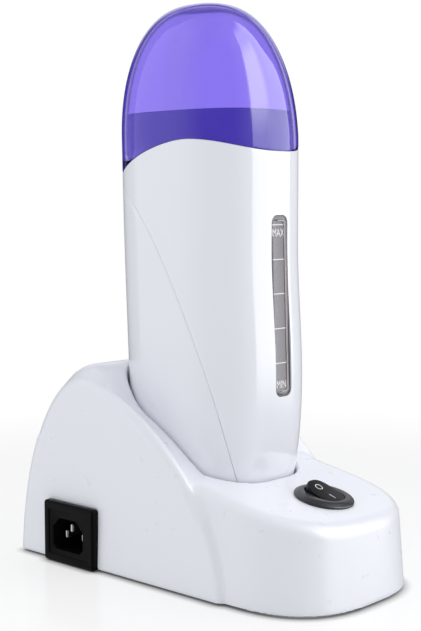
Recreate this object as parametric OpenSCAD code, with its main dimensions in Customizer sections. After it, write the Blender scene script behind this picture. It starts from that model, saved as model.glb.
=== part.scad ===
// Roll on wax heater: a hand unit with a clear cap, standing in a mains dock.
// Origin: middle of the dock's footprint, on the table. +Z is up and the switch end faces -Y.

/* [Dock body] */
// Width across the two side cheeks
base_w = 82; // [80:1:92]
// Length from the switch end to the back
base_l = 155.5; // [152:0.5:168]
// Height of the cheeks' crest
crest_h = 77.5; // [74:0.5:84]
// Height of the crown behind the hand unit
crown_h = 82; // [80:0.5:88]
// Distance of the crown from the back end
crown_back = 36.25; // [32:0.25:40]
// Length of a cheek at table height, from its front edge to the crown line
cheek_l = 79.3; // [74:0.1:84]
// Radius that rounds a cheek's crest
crest_r = 3.2; // [2:0.2:4.4]
// Depth of the hollow between crest and hand unit
scoop = 5.6; // [3:0.2:7]
// Wall of the dock body
base_wall = 2.4; // [2:0.1:3]
// Gap between the table and the dock body's edge
foot_gap = 1; // [0.8:0.1:2]

/* [Deck] */
// How far each cheek stands out past the deck's side
deck_step = 1.7; // [1.2:0.1:3]
// Length of the rounded nose
nose_l = 39.5; // [36:0.5:44]
// Height of the deck in the middle of the switch
deck_h = 36.2; // [34:0.2:40]
// Slope of the deck, in degrees
deck_slope = 11; // [7:1:14]
// Radius of the deck's rounded edge
deck_r = 5; // [3:0.5:6]
// Draft of the deck's walls, in degrees
deck_draft = 3.5; // [1:0.5:5]

/* [Hand unit] */
// Width of the hand unit
unit_w = 51.5; // [50:0.5:54]
// Depth of the hand unit at its neck
unit_d = 73.9; // [71:0.5:76]
// Distance of the neck's middle from the dock's middle, toward the back
unit_y = 5.85; // [5:0.1:7]
// Height of the hand unit's underside above the table
unit_z = 26; // [25:0.5:29]
// Height of the neck's edge above the hand unit's underside
neck_l = 145.9; // [142:0.5:152]
// How far the front bulges out
belly = 2.5; // [1:0.25:4]
// Wall of the two hand unit shells
unit_wall = 2.2; // [1.8:0.1:2.6]
// Drop of the neck's edge at the front
wave_front = 4.5; // [3:0.25:6]
// Drop of the neck's edge at the back
wave_back = 16; // [12:0.5:18]
// Height of the seam above the hand unit's underside, halfway along the side
seam_mid = 84.5; // [78:0.5:90]
// Gap between the hand unit and the dock around it
dock_gap = 0.8; // [0.6:0.1:1.2]

/* [Cap] */
// Height of the cap above the neck's edge
cap_l = 54.6; // [48:0.5:64]
// Wall of the cap
cap_wall = 1.5; // [1.2:0.1:2]
// Height of the collar above the neck's edge
collar_l = 11.3; // [8:0.1:16]
// Wall of the collar
collar_wall = 2; // [1.6:0.1:2.6]

/* [Window] */
// Width of the level window
window_w = 9.6; // [7:0.2:12]
// Height of the level window
window_l = 70; // [50:1:76]
// Height of the window's lower edge above the hand unit's underside
window_z = 47; // [42:1:52]
// Corner radius of the window
window_r = 3; // [1.5:0.25:3.5]
// Rim of the lens behind the shell
lens_rim = 1.6; // [1:0.2:2.4]

/* [Heater] */
// Width of the heater chamber
chamber_w = 36; // [32:0.5:38]
// Depth of the heater chamber
chamber_d = 48; // [44:0.5:50]
// Wall of the heater chamber
chamber_wall = 1.2; // [0.8:0.1:1.6]
// Corner radius of the heater chamber
chamber_r = 12; // [8:0.5:15]
// Width of the heating element
element_w = 22; // [18:0.5:26]
// Height of the heating element
element_l = 36; // [30:1:44]
// Thickness of the heating element
element_t = 5; // [4:0.25:6]
// Diameter of the thermostat
thermostat_d = 16; // [14:0.5:18]

/* [Mains inlet] */
// Width of the inlet's frame
inlet_w = 30; // [28:0.5:32]
// Height of the inlet's frame
inlet_h = 25; // [24:0.25:26]
// Distance of the inlet from the back end
inlet_back = 33.75; // [30:0.25:38]
// How far the frame stands out of the cheek
inlet_out = 2.4; // [1.5:0.1:3]
// Depth of the inlet's mouth
mouth_depth = 14.5; // [12:0.5:16]
// Distance between the two outer contact pins
pin_pitch = 10; // [9:0.5:11]

/* [Switch] */
// Diameter of the switch's bezel
bezel_d = 23.2; // [22:0.2:26]
// Distance of the switch from the nose's tip
switch_nose = 24.55; // [22:0.05:27]
// Diameter of the switch's barrel
barrel_d = 19.8; // [19:0.1:20.4]
// Length of the rocker
rocker_l = 16.8; // [15:0.2:17.4]
// Width of the rocker
rocker_w = 12.4; // [11:0.2:13]
// Tilt of the rocker each way from level, in degrees
rocker_tilt = 11; // [8:1:13]

/* [Dock contacts] */
// Diameter of a contact pin
pin_d = 4; // [3.5:0.1:4.5]
// Distance between the two contact pins
contact_pitch = 14; // [12:0.5:16]
// Height of a contact pin above the dock's floor
pin_out = 9; // [7:0.5:9.5]

/* [Fasteners] */
// Shank diameter of the screws
screw_d = 2.5; // [2.2:0.1:3]
// Diameter of a screw boss
boss_d = 8; // [7:0.5:9]
// Diameter of the rubber feet
foot_d = 11; // [9:0.5:13]
// Diameter of an insulated lead
lead_d = 1.8; // [1.4:0.1:2.2]

/* [Hidden] */

// Fits
running = 0.05;   // radial play of a shaft in its bore
slip = 0.15;      // a piece that drops into its seat
clear = 0.3;      // pieces that part from each other
cut = 1;          // how far a cutter runs past the face it cuts
columns = 48;     // points round a hand unit section
square_n = 2.8;   // squareness of the hand unit's oval sections
nose_n = 2.3;     // squareness of the deck's nose

// ---------------------------------------------------------------- general shapes
function smooth(t) = let(u = min(1, max(0, t))) u * u * (3 - 2 * u);
function power(v, p) = sign(v) * pow(abs(v), p);

// Closed skin over rings of equal length. A tube closes its last ring on its first,
// and any other skin is closed by a fan at each end. Flip turns the facets' diagonals.
module skin(rings, tube = false, flip = false) {
    n = len(rings[0]);
    m = len(rings);
    mid = function(r) [for (c = [0:2]) [for (p = r) p[c]] * [for (p = r) 1 / n]];
    walls = [for (k = [0:m - (tube ? 1 : 2)], i = [0:n - 1])
        let(a = k * n, b = ((k + 1) % m) * n, j = (i + 1) % n)
        each flip
            ? [[a + i, b + i, a + j], [b + i, b + j, a + j]]
            : [[a + i, b + i, b + j], [a + i, b + j, a + j]]];
    ends = tube ? [] : [for (i = [0:n - 1])
        let(j = (i + 1) % n)
        each [[m * n, i, j], [m * n + 1, (m - 1) * n + j, (m - 1) * n + i]]];
    points = [for (r = rings) each r];
    tips = tube ? [] : [mid(rings[0]), mid(rings[m - 1])];
    polyhedron(concat(points, tips), concat(walls, ends), convexity = 8);
}

// Rectangle with true round corners
module rounded(w, d, r) {
    square([w - 2 * r, d], center = true);
    square([w, d - 2 * r], center = true);
    for (x = [-1, 1], y = [-1, 1])
        translate([x * (w / 2 - r), y * (d / 2 - r)])
            circle(r, $fn = 48);
}

// Slot with round ends along X
module slot(w, d) {
    square([w - d, d], center = true);
    for (x = [-1, 1])
        translate([x * (w - d) / 2, 0])
            circle(d / 2, $fn = 40);
}

// Round lead swept along hand-laid points
function along(path, i) = let(
    a = path[max(0, i - 1)], b = path[min(len(path) - 1, i + 1)])
    (b - a) / norm(b - a);
function lead_ring(path, i, d, sides) = let(
    t = along(path, i),
    side = abs(t[2]) > 0.9 ? [1, 0, 0] : [0, 0, 1],
    u = cross(side, t) / norm(cross(side, t)),
    v = cross(t, u))
    [for (k = [0:sides - 1])
        path[i] + d / 2 * (cos(360 * k / sides) * u + sin(360 * k / sides) * v)];
module lead(path, d = lead_d, sides = 8)
    skin([for (i = [0:len(path) - 1]) lead_ring(path, i, d, sides)]);

// ---------------------------------------------------------------- hand unit sections
neck_z = unit_z + neck_l;              // highest point of the neck's edge
neck_front = unit_y - unit_d / 2;
neck_back = unit_y + unit_d / 2;
belly_z = unit_z + 52;                 // where the front bulges most
belly_up = 55;                         // the bulge fades over this height above
foot_taper = 6.9;                      // the front draws in this much down to the underside
back_taper = 6.3;                      // the back leans in this much down to the underside
side_taper = 1.2;                      // each side draws in this much over the foot
taper_z = unit_z + 34;                 // the sides are straight above this height
cap_lean = 0.05;                       // lean of the cap toward the back
cap_z = neck_z + 0.4;                  // the dome starts here
top_z = neck_z + cap_l;

function front_at(z) = neck_front - (z > belly_z
    ? belly * pow(cos(90 * min(1, (z - belly_z) / belly_up)), 2)
    : belly - foot_taper * pow((belly_z - z) / (belly_z - unit_z), 2));
function back_at(z) = neck_back
    - back_taper * pow(max(0, neck_z - z) / neck_l, 1.25);
function half_at(z) = unit_w / 2
    - side_taper * pow(max(0, taper_z - z) / (taper_z - unit_z), 2);
function mid_at(z) = (front_at(z) + back_at(z)) / 2 + cap_lean * max(0, z - cap_z);

// Point of the section at height z, inset by d. The angle runs from the front to +X.
function section(z, angle, d = 0, size = 1, n = square_n) = let(
    a = half_at(z) * size - d,
    b = (back_at(z) - front_at(z)) / 2 * size - d)
    [a * power(sin(angle), 2 / n), mid_at(z) - b * power(cos(angle), 2 / n), z];

// Edge of the neck, a wave that is highest just before the middle of each side
wave_y = -5;
function wave_at(y) = neck_z - (y < wave_y
    ? wave_front * pow((wave_y - y) / (wave_y - neck_front), 2)
    : wave_back * pow((y - wave_y) / (neck_back - wave_y), 1.7));

// Seam between the shells, a curve that climbs from the foot to the back of the neck
seam_low = unit_z + 6;                 // height of the seam across the front
seam_band = 2.4;                       // least height of the front shell, at the back
seam_slope = 2.08;                     // climb of the seam for each mm toward the back
seam_bend = 0.0245;                    // the climb eases off by twice this for each mm
function seam_at(y) = let(
    rise = unit_z + seam_mid + seam_slope * y - seam_bend * y * y)
    max(seam_low, min(rise, wave_at(y) - seam_band));

angles = [for (i = [0:columns - 1]) 360 * i / columns];
wave_line = [for (a = angles) wave_at(section(neck_z, a)[1])];
seam_line = [for (a = angles) seam_at(section(neck_z, a)[1])];

function ring(z, d) = [for (a = angles) section(z, a, d)];
// Ring between two lines: lift 0 lies on the lower one, and lift 1 on the upper one
function between(low, high, lift, d, shift = 0) = [for (i = [0:columns - 1])
    section(low[i] + (high[i] - low[i]) * lift + shift, angles[i], d)];
function level(z) = [for (a = angles) z];

// ---------------------------------------------------------------- cap and collar
cap_steps = [12, 24, 35, 45, 54, 62, 70, 78, 85];
function dome(angle, d) = let(
    up = pow(sin(angle), 2 / 2.1),
    z = cap_z + (top_z - cap_z - d) * up,
    size = pow(cos(angle), 2 / square_n))
    [for (a = angles) let(
        n = square_n - 0.6 * up * up,
        p = section(cap_z, a, d, 1, n))
        [p[0] * size, mid_at(z) + (p[1] - mid_at(cap_z)) * size, z]];

cap_gap = 0.4;                         // joint between the neck's edge and the cap
module cap() {
    edge = [for (z = wave_line) z + cap_gap];
    outer = [for (s = [0, 0.5]) between(edge, level(cap_z + 2), s, 0)];
    inner = [for (s = [0.5, 0]) between(edge, level(cap_z + 2), s, cap_wall)];
    color([0.45, 0.36, 0.86, 0.6])
    skin(concat(
        [for (i = [len(cap_steps) - 1:-1:0]) dome(cap_steps[i], cap_wall)],
        inner, outer,
        [for (s = cap_steps) dome(s, 0)]));
}

collar_in = unit_wall + slip;          // the collar stands this far inside the hand unit
collar_z = neck_z + collar_l;          // top of the collar
collar_foot = neck_z - wave_back - 6;  // the collar reaches down inside the shells to here
plate_t = 3;                           // thickness of the collar's top
chamber_y = neck_front + collar_in + collar_wall + 3 + chamber_d / 2;
lip = 1.6;                             // the chamber's lip reaches out by this

module collar() {
    color([0.27, 0.2, 0.62])
    difference() {
        skin([ring(collar_foot, collar_in), ring(neck_z - 4, collar_in),
              ring(collar_z - 0.8, collar_in), ring(collar_z, collar_in + 0.8)]);
        skin([ring(collar_foot - cut, collar_in + collar_wall),
              ring(neck_z - 4, collar_in + collar_wall),
              ring(collar_z - plate_t, collar_in + collar_wall)]);
        translate([0, chamber_y, neck_z - 4])
            linear_extrude(collar_l + 4 + cut)
                rounded(chamber_w - 2 * chamber_wall, chamber_d - 2 * chamber_wall,
                        chamber_r - chamber_wall);
    }
}

// ---------------------------------------------------------------- hand unit shells
groove = 0.4;                          // depth and height of the seam's small groove
seam_gap = 0.05;                       // half the joint between the shells
floor_t = 2.4;                         // floor of the hand unit
post_x = 13.6;                         // screw posts stand this far to each side
post_z = unit_z + 14.5;                // height of the screw posts
post_d = 6.4;
post_split = -16;                      // the posts of the two shells meet here
head_d = 2 * screw_d;                  // diameter of a screw's head
head_t = 0.7 * screw_d;                // height of a screw's head
window_mid = unit_z + window_z + window_l / 2;
window_tilt = atan((front_at(window_mid + window_l / 2) - front_at(window_mid - window_l / 2))
    / window_l);

// Upright plate in the plane of the window, depth d behind the front
module at_window(d, t) {
    translate([0, front_at(window_mid) + d, window_mid])
        rotate([90 - window_tilt, 0, 0])
            translate([0, 0, -t])
                linear_extrude(t)
                    children();
}

module front_shell() {
    heights = [0.06, 0.2, 0.35, 0.5, 0.65, 0.82, 1];
    low = [for (z = seam_line) z + seam_gap];
    color("white")
    difference() {
        union() {
            skin(concat(
                [between(low, wave_line, 0, groove)],
                [between(low, wave_line, 0, 0, groove)],
                [for (h = heights) between(low, wave_line, h, 0)],
                [for (h = [1, 0.8, 0.55, 0.3, 0.15, 0])
                    between(low, wave_line, h, unit_wall)]),
                tube = true, flip = true);
            within_walls()
                posts(neck_front - belly, post_split, post_d);
        }
        at_window(-2, unit_wall + 4)
            rounded(window_w, window_l, window_r);
        posts(post_split - 9, post_split + cut, screw_d + 2 * running);
    }
}

// The two screw posts, or their bores, from one depth to another
module posts(y0, y1, d)
    for (x = [-post_x, post_x])
        translate([x, y0, post_z])
            rotate([-90, 0, 0])
                cylinder(h = y1 - y0, d = d, $fn = 40);

// Keeps what stands inside the outer face of the shells
module within_walls()
    intersection() {
        children();
        skin([for (z = [post_z - post_d, post_z, post_z + post_d]) ring(z, unit_wall / 2)]);
    }

module rear_shell() {
    high = [for (z = seam_line) z - seam_gap];
    base = level(unit_z);
    floor_in = level(unit_z + floor_t);
    color([0.94, 0.95, 0.98])
    difference() {
        union() {
            skin(concat(
                [ring(unit_z, 3), ring(unit_z + 0.8, 1), ring(unit_z + 3, 0)],
                [for (h = [0.2, 0.4, 0.6, 0.8]) between(base, high, h, 0)],
                [between(base, high, 1, 0, -groove), between(base, high, 1, groove)],
                [for (h = [1, 0.66, 0.33, 0]) between(floor_in, high, h, unit_wall)]));
            within_walls()
                posts(post_split + 0.1, neck_back, post_d);
        }
        posts(post_split - cut, post_split + 4, screw_d + 2 * clear);
        posts(post_split + 3, neck_back + cut, head_d + 2 * slip);
        posts(neck_front - belly, post_split, post_d + 2 * running);
        translate([0, contact_y, unit_z - cut])
            linear_extrude(floor_t + 2 * cut)
                slot(nose_w + 2 * clear, nose_d + 2 * clear);
    }
}

module shell_screws() {
    color("silver")
    for (x = [-post_x, post_x])
        translate([x, post_split + 3, post_z])
            rotate([90, 0, 0])
                screw(11);
}

// Pan-head screw. Its head sits on the plane z = 0, and the shank points to +Z.
module screw(l) {
    difference() {
        union() {
            cylinder(h = l, d = screw_d, $fn = 32);
            translate([0, 0, -head_t])
                cylinder(h = head_t, d = head_d, $fn = 32);
        }
        for (a = [0, 90])
            rotate(a)
                translate([0, 0, -head_t + 0.35])
                    cube([head_d * 0.6, screw_d * 0.25, 1], center = true);
    }
}

lens_sunk = 0.35;                      // the lens lies this deep in its opening
lens_t = 1.2;
lens_back = unit_wall + 0.6;           // the rim stands clear of the bowed wall
module window_lens() {
    color([0.42, 0.39, 0.4, 0.8])
    union() {
        at_window(lens_sunk, lens_back - lens_sunk + slip)
            rounded(window_w - 2 * slip, window_l - 2 * slip, window_r - slip);
        at_window(lens_back, lens_t)
            rounded(window_w + 2 * lens_rim, window_l + 2 * lens_rim, window_r + lens_rim);
    }
}

// ---------------------------------------------------------------- heater
tray_z = post_z + post_d / 2 + 0.15;   // underside of the tray, on the posts
tray_t = 3;
chamber_z = tray_z + tray_t;           // underside of the chamber
chamber_top = collar_z - plate_t;      // the chamber's lip meets the collar's top
chamber_back = chamber_y + chamber_d / 2;
element_z = chamber_z + 22;
clamp_t = 0.8;
clamp_ear = 8;

module heater_chamber() {
    inner_w = chamber_w - 2 * chamber_wall;
    inner_d = chamber_d - 2 * chamber_wall;
    inner_r = chamber_r - chamber_wall;
    color("silver")
    difference() {
        translate([0, chamber_y, 0])
            difference() {
                union() {
                    translate([0, 0, chamber_z])
                        linear_extrude(chamber_top - chamber_z)
                            rounded(chamber_w, chamber_d, chamber_r);
                    translate([0, 0, chamber_top - 1.5])
                        linear_extrude(1.5)
                            rounded(chamber_w + lip, chamber_d + 1, chamber_r + 0.5);
                }
                translate([0, 0, chamber_z + chamber_wall])
                    linear_extrude(chamber_top - chamber_z)
                        rounded(inner_w, inner_d, inner_r);
            }
        translate([0, chamber_y - chamber_d / 2 + chamber_wall / 2, window_mid])
            rotate([90, 0, 0])
                translate([0, 0, -chamber_wall])
                    linear_extrude(2 * chamber_wall)
                        slot_upright(window_w - 2, window_l - 4);
        for (z = [-1, 1])
            clamp_axis(z)
                cylinder(h = 4 * chamber_wall, d = screw_d + 2 * running, center = true, $fn = 32);
    }
}

module slot_upright(w, l)
    rotate(90)
        slot(l, w);

// Axis of a clamp screw, above (1) or below (-1) the element, on the chamber's back
module clamp_axis(side)
    translate([0, chamber_back, element_z + element_l / 2 + side * (element_l / 2 + clamp_ear / 2)])
        rotate([-90, 0, 0])
            children();

module heater_element() {
    color([0.72, 0.73, 0.75])
    translate([0, chamber_back, element_z])
        difference() {
            translate([-element_w / 2, 0, 0])
                cube([element_w, element_t, element_l]);
            for (x = [-1, 1])
                translate([x * (element_w / 2 + 0.01), element_t / 2, -cut])
                    cylinder(h = element_l + 2 * cut, d = 1.6, $fn = 24);
        }
}

module heater_clamp() {
    w = element_w * 0.6;
    color([0.6, 0.62, 0.65])
    difference() {
        union() {
            translate([-w / 2, chamber_back + element_t, element_z - clamp_t])
                cube([w, clamp_t, element_l + 2 * clamp_t]);
            for (end = [0, 1]) {
                translate([-w / 2, chamber_back, element_z + (end == 1 ? element_l : -clamp_t)])
                    cube([w, element_t + clamp_t, clamp_t]);
                translate([-w / 2, chamber_back,
                           element_z + (end == 1 ? element_l : -clamp_ear)])
                    cube([w, clamp_t, clamp_ear]);
            }
        }
        for (z = [-1, 1])
            clamp_axis(z)
                cylinder(h = 4, d = screw_d + 2 * slip, center = true, $fn = 32);
    }
}

module clamp_screws() {
    color("silver")
    for (z = [-1, 1])
        clamp_axis(z)
            translate([0, 0, clamp_t])
                rotate([180, 0, 0])
                    screw(clamp_t + chamber_wall);
}

thermostat_z = element_z + element_l + clamp_ear + thermostat_d / 2 + 3;
thermostat_t = 5;
module thermostat() {
    color([0.75, 0.72, 0.66])
    translate([0, chamber_back, thermostat_z])
        rotate([-90, 0, 0]) {
            cylinder(h = thermostat_t, d = thermostat_d, $fn = 48);
            for (x = [-1, 1])
                translate([x * thermostat_d / 4 - 1.5, -0.4, thermostat_t - 0.5])
                    cube([3, 0.8, 4]);
        }
}

fuse_z = thermostat_z + thermostat_d / 2 + 6;
fuse_d = 4;
module thermal_fuse() {
    color([0.9, 0.88, 0.82])
    translate([0, chamber_back + fuse_d / 2 + running, fuse_z])
        rotate([0, 90, 0]) {
            cylinder(h = 11, d = fuse_d, center = true, $fn = 32);
            cylinder(h = 17, d = 1, center = true, $fn = 24);
        }
}

module chamber_tray() {
    inset = unit_wall + 0.8;
    color([0.25, 0.25, 0.27])
    difference() {
        skin([ring(tray_z, inset), ring(tray_z + tray_t + 4, inset)]);
        translate([0, chamber_y, tray_z + tray_t])
            linear_extrude(4 + cut)
                rounded(chamber_w + 2 * slip, chamber_d + 2 * slip, chamber_r + slip);
        for (x = [-1, 1])
            translate([x * 6, chamber_back + 5, tray_z - cut])
                cylinder(h = tray_t + 4 + 2 * cut, d = 5, $fn = 32);
    }
}

// ---------------------------------------------------------------- contacts between dock and hand unit
contact_y = 4.5;                       // the contacts stand on this line
nose_w = contact_pitch + pin_d + 5;    // nose of the dock's block, round the pins
nose_d = pin_d + 5;
dock_floor = unit_z - clear;           // the hand unit stands just above this
dock_floor_t = 2.4;
sleeve_wall = 1;
sleeve_bore = pin_d + 2 * running;
sleeve_z = unit_z + floor_t + 0.6;     // lower end of a contact sleeve
sleeve_l = pin_out + 1.5;

module at_contacts()
    for (x = [-1, 1])
        translate([x * contact_pitch / 2, contact_y, 0])
            children();

module socket_block() {
    d = sleeve_bore + 2 * sleeve_wall;
    color([0.2, 0.2, 0.22])
    difference() {
        translate([-(contact_pitch + d + 1) / 2, contact_y - 8, unit_z + floor_t])
            cube([contact_pitch + d + 1, 16, sleeve_l - 2]);
        at_contacts() {
            translate([0, 0, sleeve_z])
                cylinder(h = sleeve_l, d = d + 2 * running, $fn = 40);
            translate([0, 0, unit_z])
                cylinder(h = 6, d = sleeve_bore + 0.8, $fn = 40);
        }
    }
}

module socket_sleeves() {
    d = sleeve_bore + 2 * sleeve_wall;
    color("gold")
    at_contacts()
        translate([0, 0, sleeve_z])
            difference() {
                union() {
                    cylinder(h = sleeve_l, d = d, $fn = 40);
                    translate([-1.5, -0.4, sleeve_l - 0.5])
                        cube([3, 0.8, 2.5]);
                }
                translate([0, 0, -cut])
                    cylinder(h = sleeve_l + cut - 1.2, d = sleeve_bore, $fn = 40);
            }
}

block_h = 13.5;                        // dock block below the dock's floor
ear_z = dock_floor - dock_floor_t - 9;
ear_t = 3;
ear_x = nose_w / 2 + 8;
module dock_block() {
    color([0.2, 0.2, 0.22])
    difference() {
        translate([0, contact_y, 0]) {
            translate([0, 0, dock_floor - dock_floor_t - block_h])
                linear_extrude(block_h - slip)
                    slot(nose_w + 3, nose_d + 4);
            translate([0, 0, dock_floor - dock_floor_t - 1])
                linear_extrude(dock_floor_t + 0.7)
                    slot(nose_w, nose_d);
            translate([0, 0, ear_z])
                linear_extrude(ear_t)
                    slot(2 * ear_x + boss_d, boss_d);
        }
        at_contacts()
            cylinder(h = 60, d = pin_d + 2 * running, $fn = 40);
        at_ears()
            translate([0, 0, ear_z - cut])
                cylinder(h = ear_t + 2 * cut, d = screw_d + 2 * clear, $fn = 32);
    }
}

module at_ears()
    for (x = [-ear_x, ear_x])
        translate([x, contact_y, 0])
            children();

module dock_pins() {
    tail = dock_floor - dock_floor_t - block_h - 4;
    tip = dock_floor + pin_out;
    color("gold")
    at_contacts()
        rotate_extrude($fn = 48)
            polygon([[0, tail], [pin_d / 2 - 0.8, tail], [pin_d / 2 - 0.8, tail + 4],
                     [pin_d / 2, tail + 4], [pin_d / 2, tip - 1.2],
                     [pin_d / 2 - 0.8, tip], [0, tip]]);
}

module dock_screws() {
    color("silver")
    at_ears()
        translate([0, 0, ear_z])
            screw(8.5);
}

// ---------------------------------------------------------------- dock body
back_y = base_l / 2;
nose_y = -base_l / 2;
crown_y = back_y - crown_back;
inlet_y = back_y - inlet_back;
switch_y = -nose_y - switch_nose;
deck_w = base_w - 2 * deck_step;
cheek_draft = 0.0007;                  // the cheeks lean in by this share for each mm of height
rear_p = 1.47;                         // roundness of the cheek's outline behind the crown
front_p = 1.51;                        // and in front of it, along the table
front_q = 1.78;                        // and upward

function cheek(t, d) = t > 0
    ? [crown_y + (back_y - crown_y - d) * pow(sin(t), 2 / rear_p),
       (crest_h - d) * pow(cos(t), 2 / rear_p)]
    : [crown_y - (cheek_l - d) * pow(sin(-t), 2 / front_p),
       (crest_h - d) * pow(cos(t), 2 / front_q)];
function deck_at(y) = deck_h + (y + switch_y) * tan(deck_slope);

// Height that the middle of the body has above or below the cheek's outline
scoop_y = [crown_y - 72, crown_y - 56];            // the hollow deepens between these places
crown_step = [crown_y - 25.6, crown_y + 0.2];      // and rises to the crown between these
function swell(y, z) = z / crest_h * (
    (crown_h - crest_h + scoop) * smooth((y - crown_step[0]) / (crown_step[1] - crown_step[0]))
    - scoop * smooth((y - scoop_y[0]) / (scoop_y[1] - scoop_y[0])));

// One outline of the cheeks' body at a distance x from the middle plane
body_turns = [90, 84, 78, 71, 64, 57, 50, 43, 36, 29, 22, 16, 10, 5, 0,
              -6, -12, -17, -22, -27, -32, -37, -42, -47, -52, -57, -63, -70, -77, -84, -90];
blend_x = unit_w / 2 + 2;              // inside this distance the outline is the middle one
function inward(x) = let(
    u = min(1, max(0, (base_w / 2 - crest_r - abs(x)) / (base_w / 2 - crest_r - blend_x))))
    1 - pow(1 - u, 3);
function outline(x, d, low) = [for (t = body_turns) let(
    p = cheek(t, d),
    z = p[1] < 0.01 ? low : p[1] + inward(x) * swell(p[0], p[1]))
    [x * (1 - cheek_draft * z), p[0], z]];
crest_steps = [[0, 1], [0.13, 0.5], [0.5, 0.13], [1, 0]];
function body_rings(d, low) = let(
    half = base_w / 2 - d,
    r = crest_r,
    step = min(3, (half - r - blend_x) / 2.2),     // closer where the cheeks are narrow
    right = concat(
        [for (x = [0, 14, blend_x - 3, blend_x, blend_x + step, blend_x + 2 * step]) [x, d]],
        [for (s = [3, 2, 1, 0]) [half - r * crest_steps[s][0], d + r * crest_steps[s][1]]]))
    concat(
        [for (i = [len(right) - 1:-1:1]) outline(-right[i][0], right[i][1], low)],
        [for (p = right) outline(p[0], p[1], low)]);

// Deck body: plan rings that draw in by the draft and round over at the top
nose_turns = [for (i = [-9:9]) i * 10];
function nose_ring(inset, drop, low = undef, back = 0) = let(
    a = deck_w / 2 - inset,
    b = nose_l - inset,
    y0 = nose_y + nose_l,
    plan = concat([[-a, back]],
        [for (t = nose_turns) [a * power(sin(t), 2 / nose_n), y0 - b * pow(cos(t), 2 / nose_n)]],
        [[a, back]]))
    [for (p = plan) [p[0], p[1], low == undef ? deck_at(p[1]) - drop : low]];
function deck_rings(d, low) = let(
    lean = (deck_h - deck_r) * tan(deck_draft),
    r = max(0.6, deck_r - d))
    concat(
        [nose_ring(d, 0, low), nose_ring(d + lean, r + d)],
        [for (t = [25, 50, 70, 90])
            nose_ring(d + lean + r * (1 - cos(t)), d + r * (1 - sin(t)))]);

// Hole for the hand unit, wider than it by d
module dock_well(d, low)
    skin([for (z = [low, unit_z + 16, unit_z + 34, unit_z + 50, crown_h + 10])
        [for (a = angles) let(p = section(max(z, unit_z), a, -d)) [p[0], p[1], z]]]);

side_boss = [base_w / 2 - 6.5, back_y - 13.75];    // a back boss stands against the cheek's wall
side_boss_top = 34;
nose_boss = [21, nose_y + 19.75];
corner_bosses = [for (p = [side_boss, nose_boss], x = [-1, 1]) [x * p[0], p[1]]];
plate_z = foot_gap + 0.3;              // underside of the bottom plate
bottom_t = 2.2;
boss_z = plate_z + bottom_t;
function boss_top(p) = p[1] > 0 ? side_boss_top : deck_at(p[1]) - base_wall / 2;

module base_shell() {
    color("white")
    difference() {
        union() {
            difference() {
                union() {
                    skin(body_rings(0, foot_gap));
                    skin(deck_rings(0, foot_gap));
                }
                difference() {
                    union() {
                        skin(body_rings(base_wall, foot_gap - cut));
                        skin(deck_rings(base_wall, foot_gap - cut));
                    }
                    dock_well(dock_gap + base_wall, dock_floor - dock_floor_t);
                }
            }
            for (p = corner_bosses)
                translate([p[0], p[1], boss_z])
                    cylinder(h = boss_top(p) - boss_z, d = boss_d, $fn = 40);
            at_ears()
                translate([0, 0, ear_z + ear_t])
                    cylinder(h = 7, d = boss_d, $fn = 40);
        }
        dock_well(dock_gap, dock_floor);
        for (p = corner_bosses)
            translate([p[0], p[1], boss_z - cut])
                cylinder(h = 12, d = screw_d + 2 * running, $fn = 32);
        at_ears()
            translate([0, 0, ear_z])
                cylinder(h = 9.5, d = screw_d + 2 * running, $fn = 32);
        translate([0, contact_y, dock_floor - dock_floor_t - cut])
            linear_extrude(dock_floor_t + 2 * cut)
                slot(nose_w + 2 * slip, nose_d + 2 * slip);
        at_inlet() {
            translate([-inlet_seat, 0, 0])
                along_x(inlet_seat + 4)
                    rounded(inlet_w + 2 * slip, inlet_h + 2 * slip, 1.2);
            translate([-12, 0, 0])
                along_x(12)
                    square([tub_w + 2 * slip, tub_h + 2 * slip], center = true);
        }
        at_switch()
            cylinder(h = 14, d = barrel_d + 2 * slip, center = true, $fn = 60);
    }
}

// ---------------------------------------------------------------- bottom plate
module bottom_plate() {
    gap = base_wall + slip + 0.2;
    front = crown_y - cheek_l + gap;
    back = back_y - gap - 0.4;
    color([0.9, 0.91, 0.93])
    difference() {
        translate([0, 0, plate_z])
            linear_extrude(bottom_t)
                union() {
                    polygon([for (p = nose_ring(gap + boss_z * tan(deck_draft), 0, 0))
                        [p[0], p[1]]]);
                    translate([0, (front + back) / 2])
                        rounded(base_w - 2 * gap, back - front, crest_r + 0.5);
                }
        for (p = corner_bosses)
            translate([p[0], p[1], plate_z - cut]) {
                cylinder(h = bottom_t + 2 * cut, d = screw_d + 2 * slip, $fn = 32);
                cylinder(h = cut + 1, d = head_d + 2 * slip, $fn = 32);
            }
        at_feet()
            translate([0, 0, plate_z - cut])
                cylinder(h = cut + 1, d = foot_d + 2 * slip, $fn = 40);
    }
}

back_foot = [base_w / 2 - 14, back_y - 17.75];
nose_foot = [20, nose_y + 31.75];
module at_feet()
    for (p = [back_foot, nose_foot], x = [-1, 1])
        translate([x * p[0], p[1], 0])
            children();

module rubber_feet() {
    color([0.3, 0.3, 0.32])
    at_feet()
        rotate_extrude($fn = 48)
            polygon([[0, 0], [foot_d / 2 - 0.8, 0], [foot_d / 2, 0.8],
                     [foot_d / 2, plate_z + 1], [0, plate_z + 1]]);
}

module plate_screws() {
    color("silver")
    for (p = corner_bosses)
        translate([p[0], p[1], plate_z + 1])
            screw(11);
}

// ---------------------------------------------------------------- mains inlet
inlet_z = inlet_h / 2 + 0.4;
inlet_seat = 1;                        // the frame sits this deep in the cheek
tub_w = inlet_w - 6;                   // housing behind the frame
tub_h = inlet_h - 6.6;
tub_l = 19;
mouth_w = 19;
mouth_h = 14.5;
mouth_cut = 4;                         // cut corners at the top of the mouth
pin_l = 9;
earth_up = 2.4;                        // the earth pin stands this far above the middle

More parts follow.
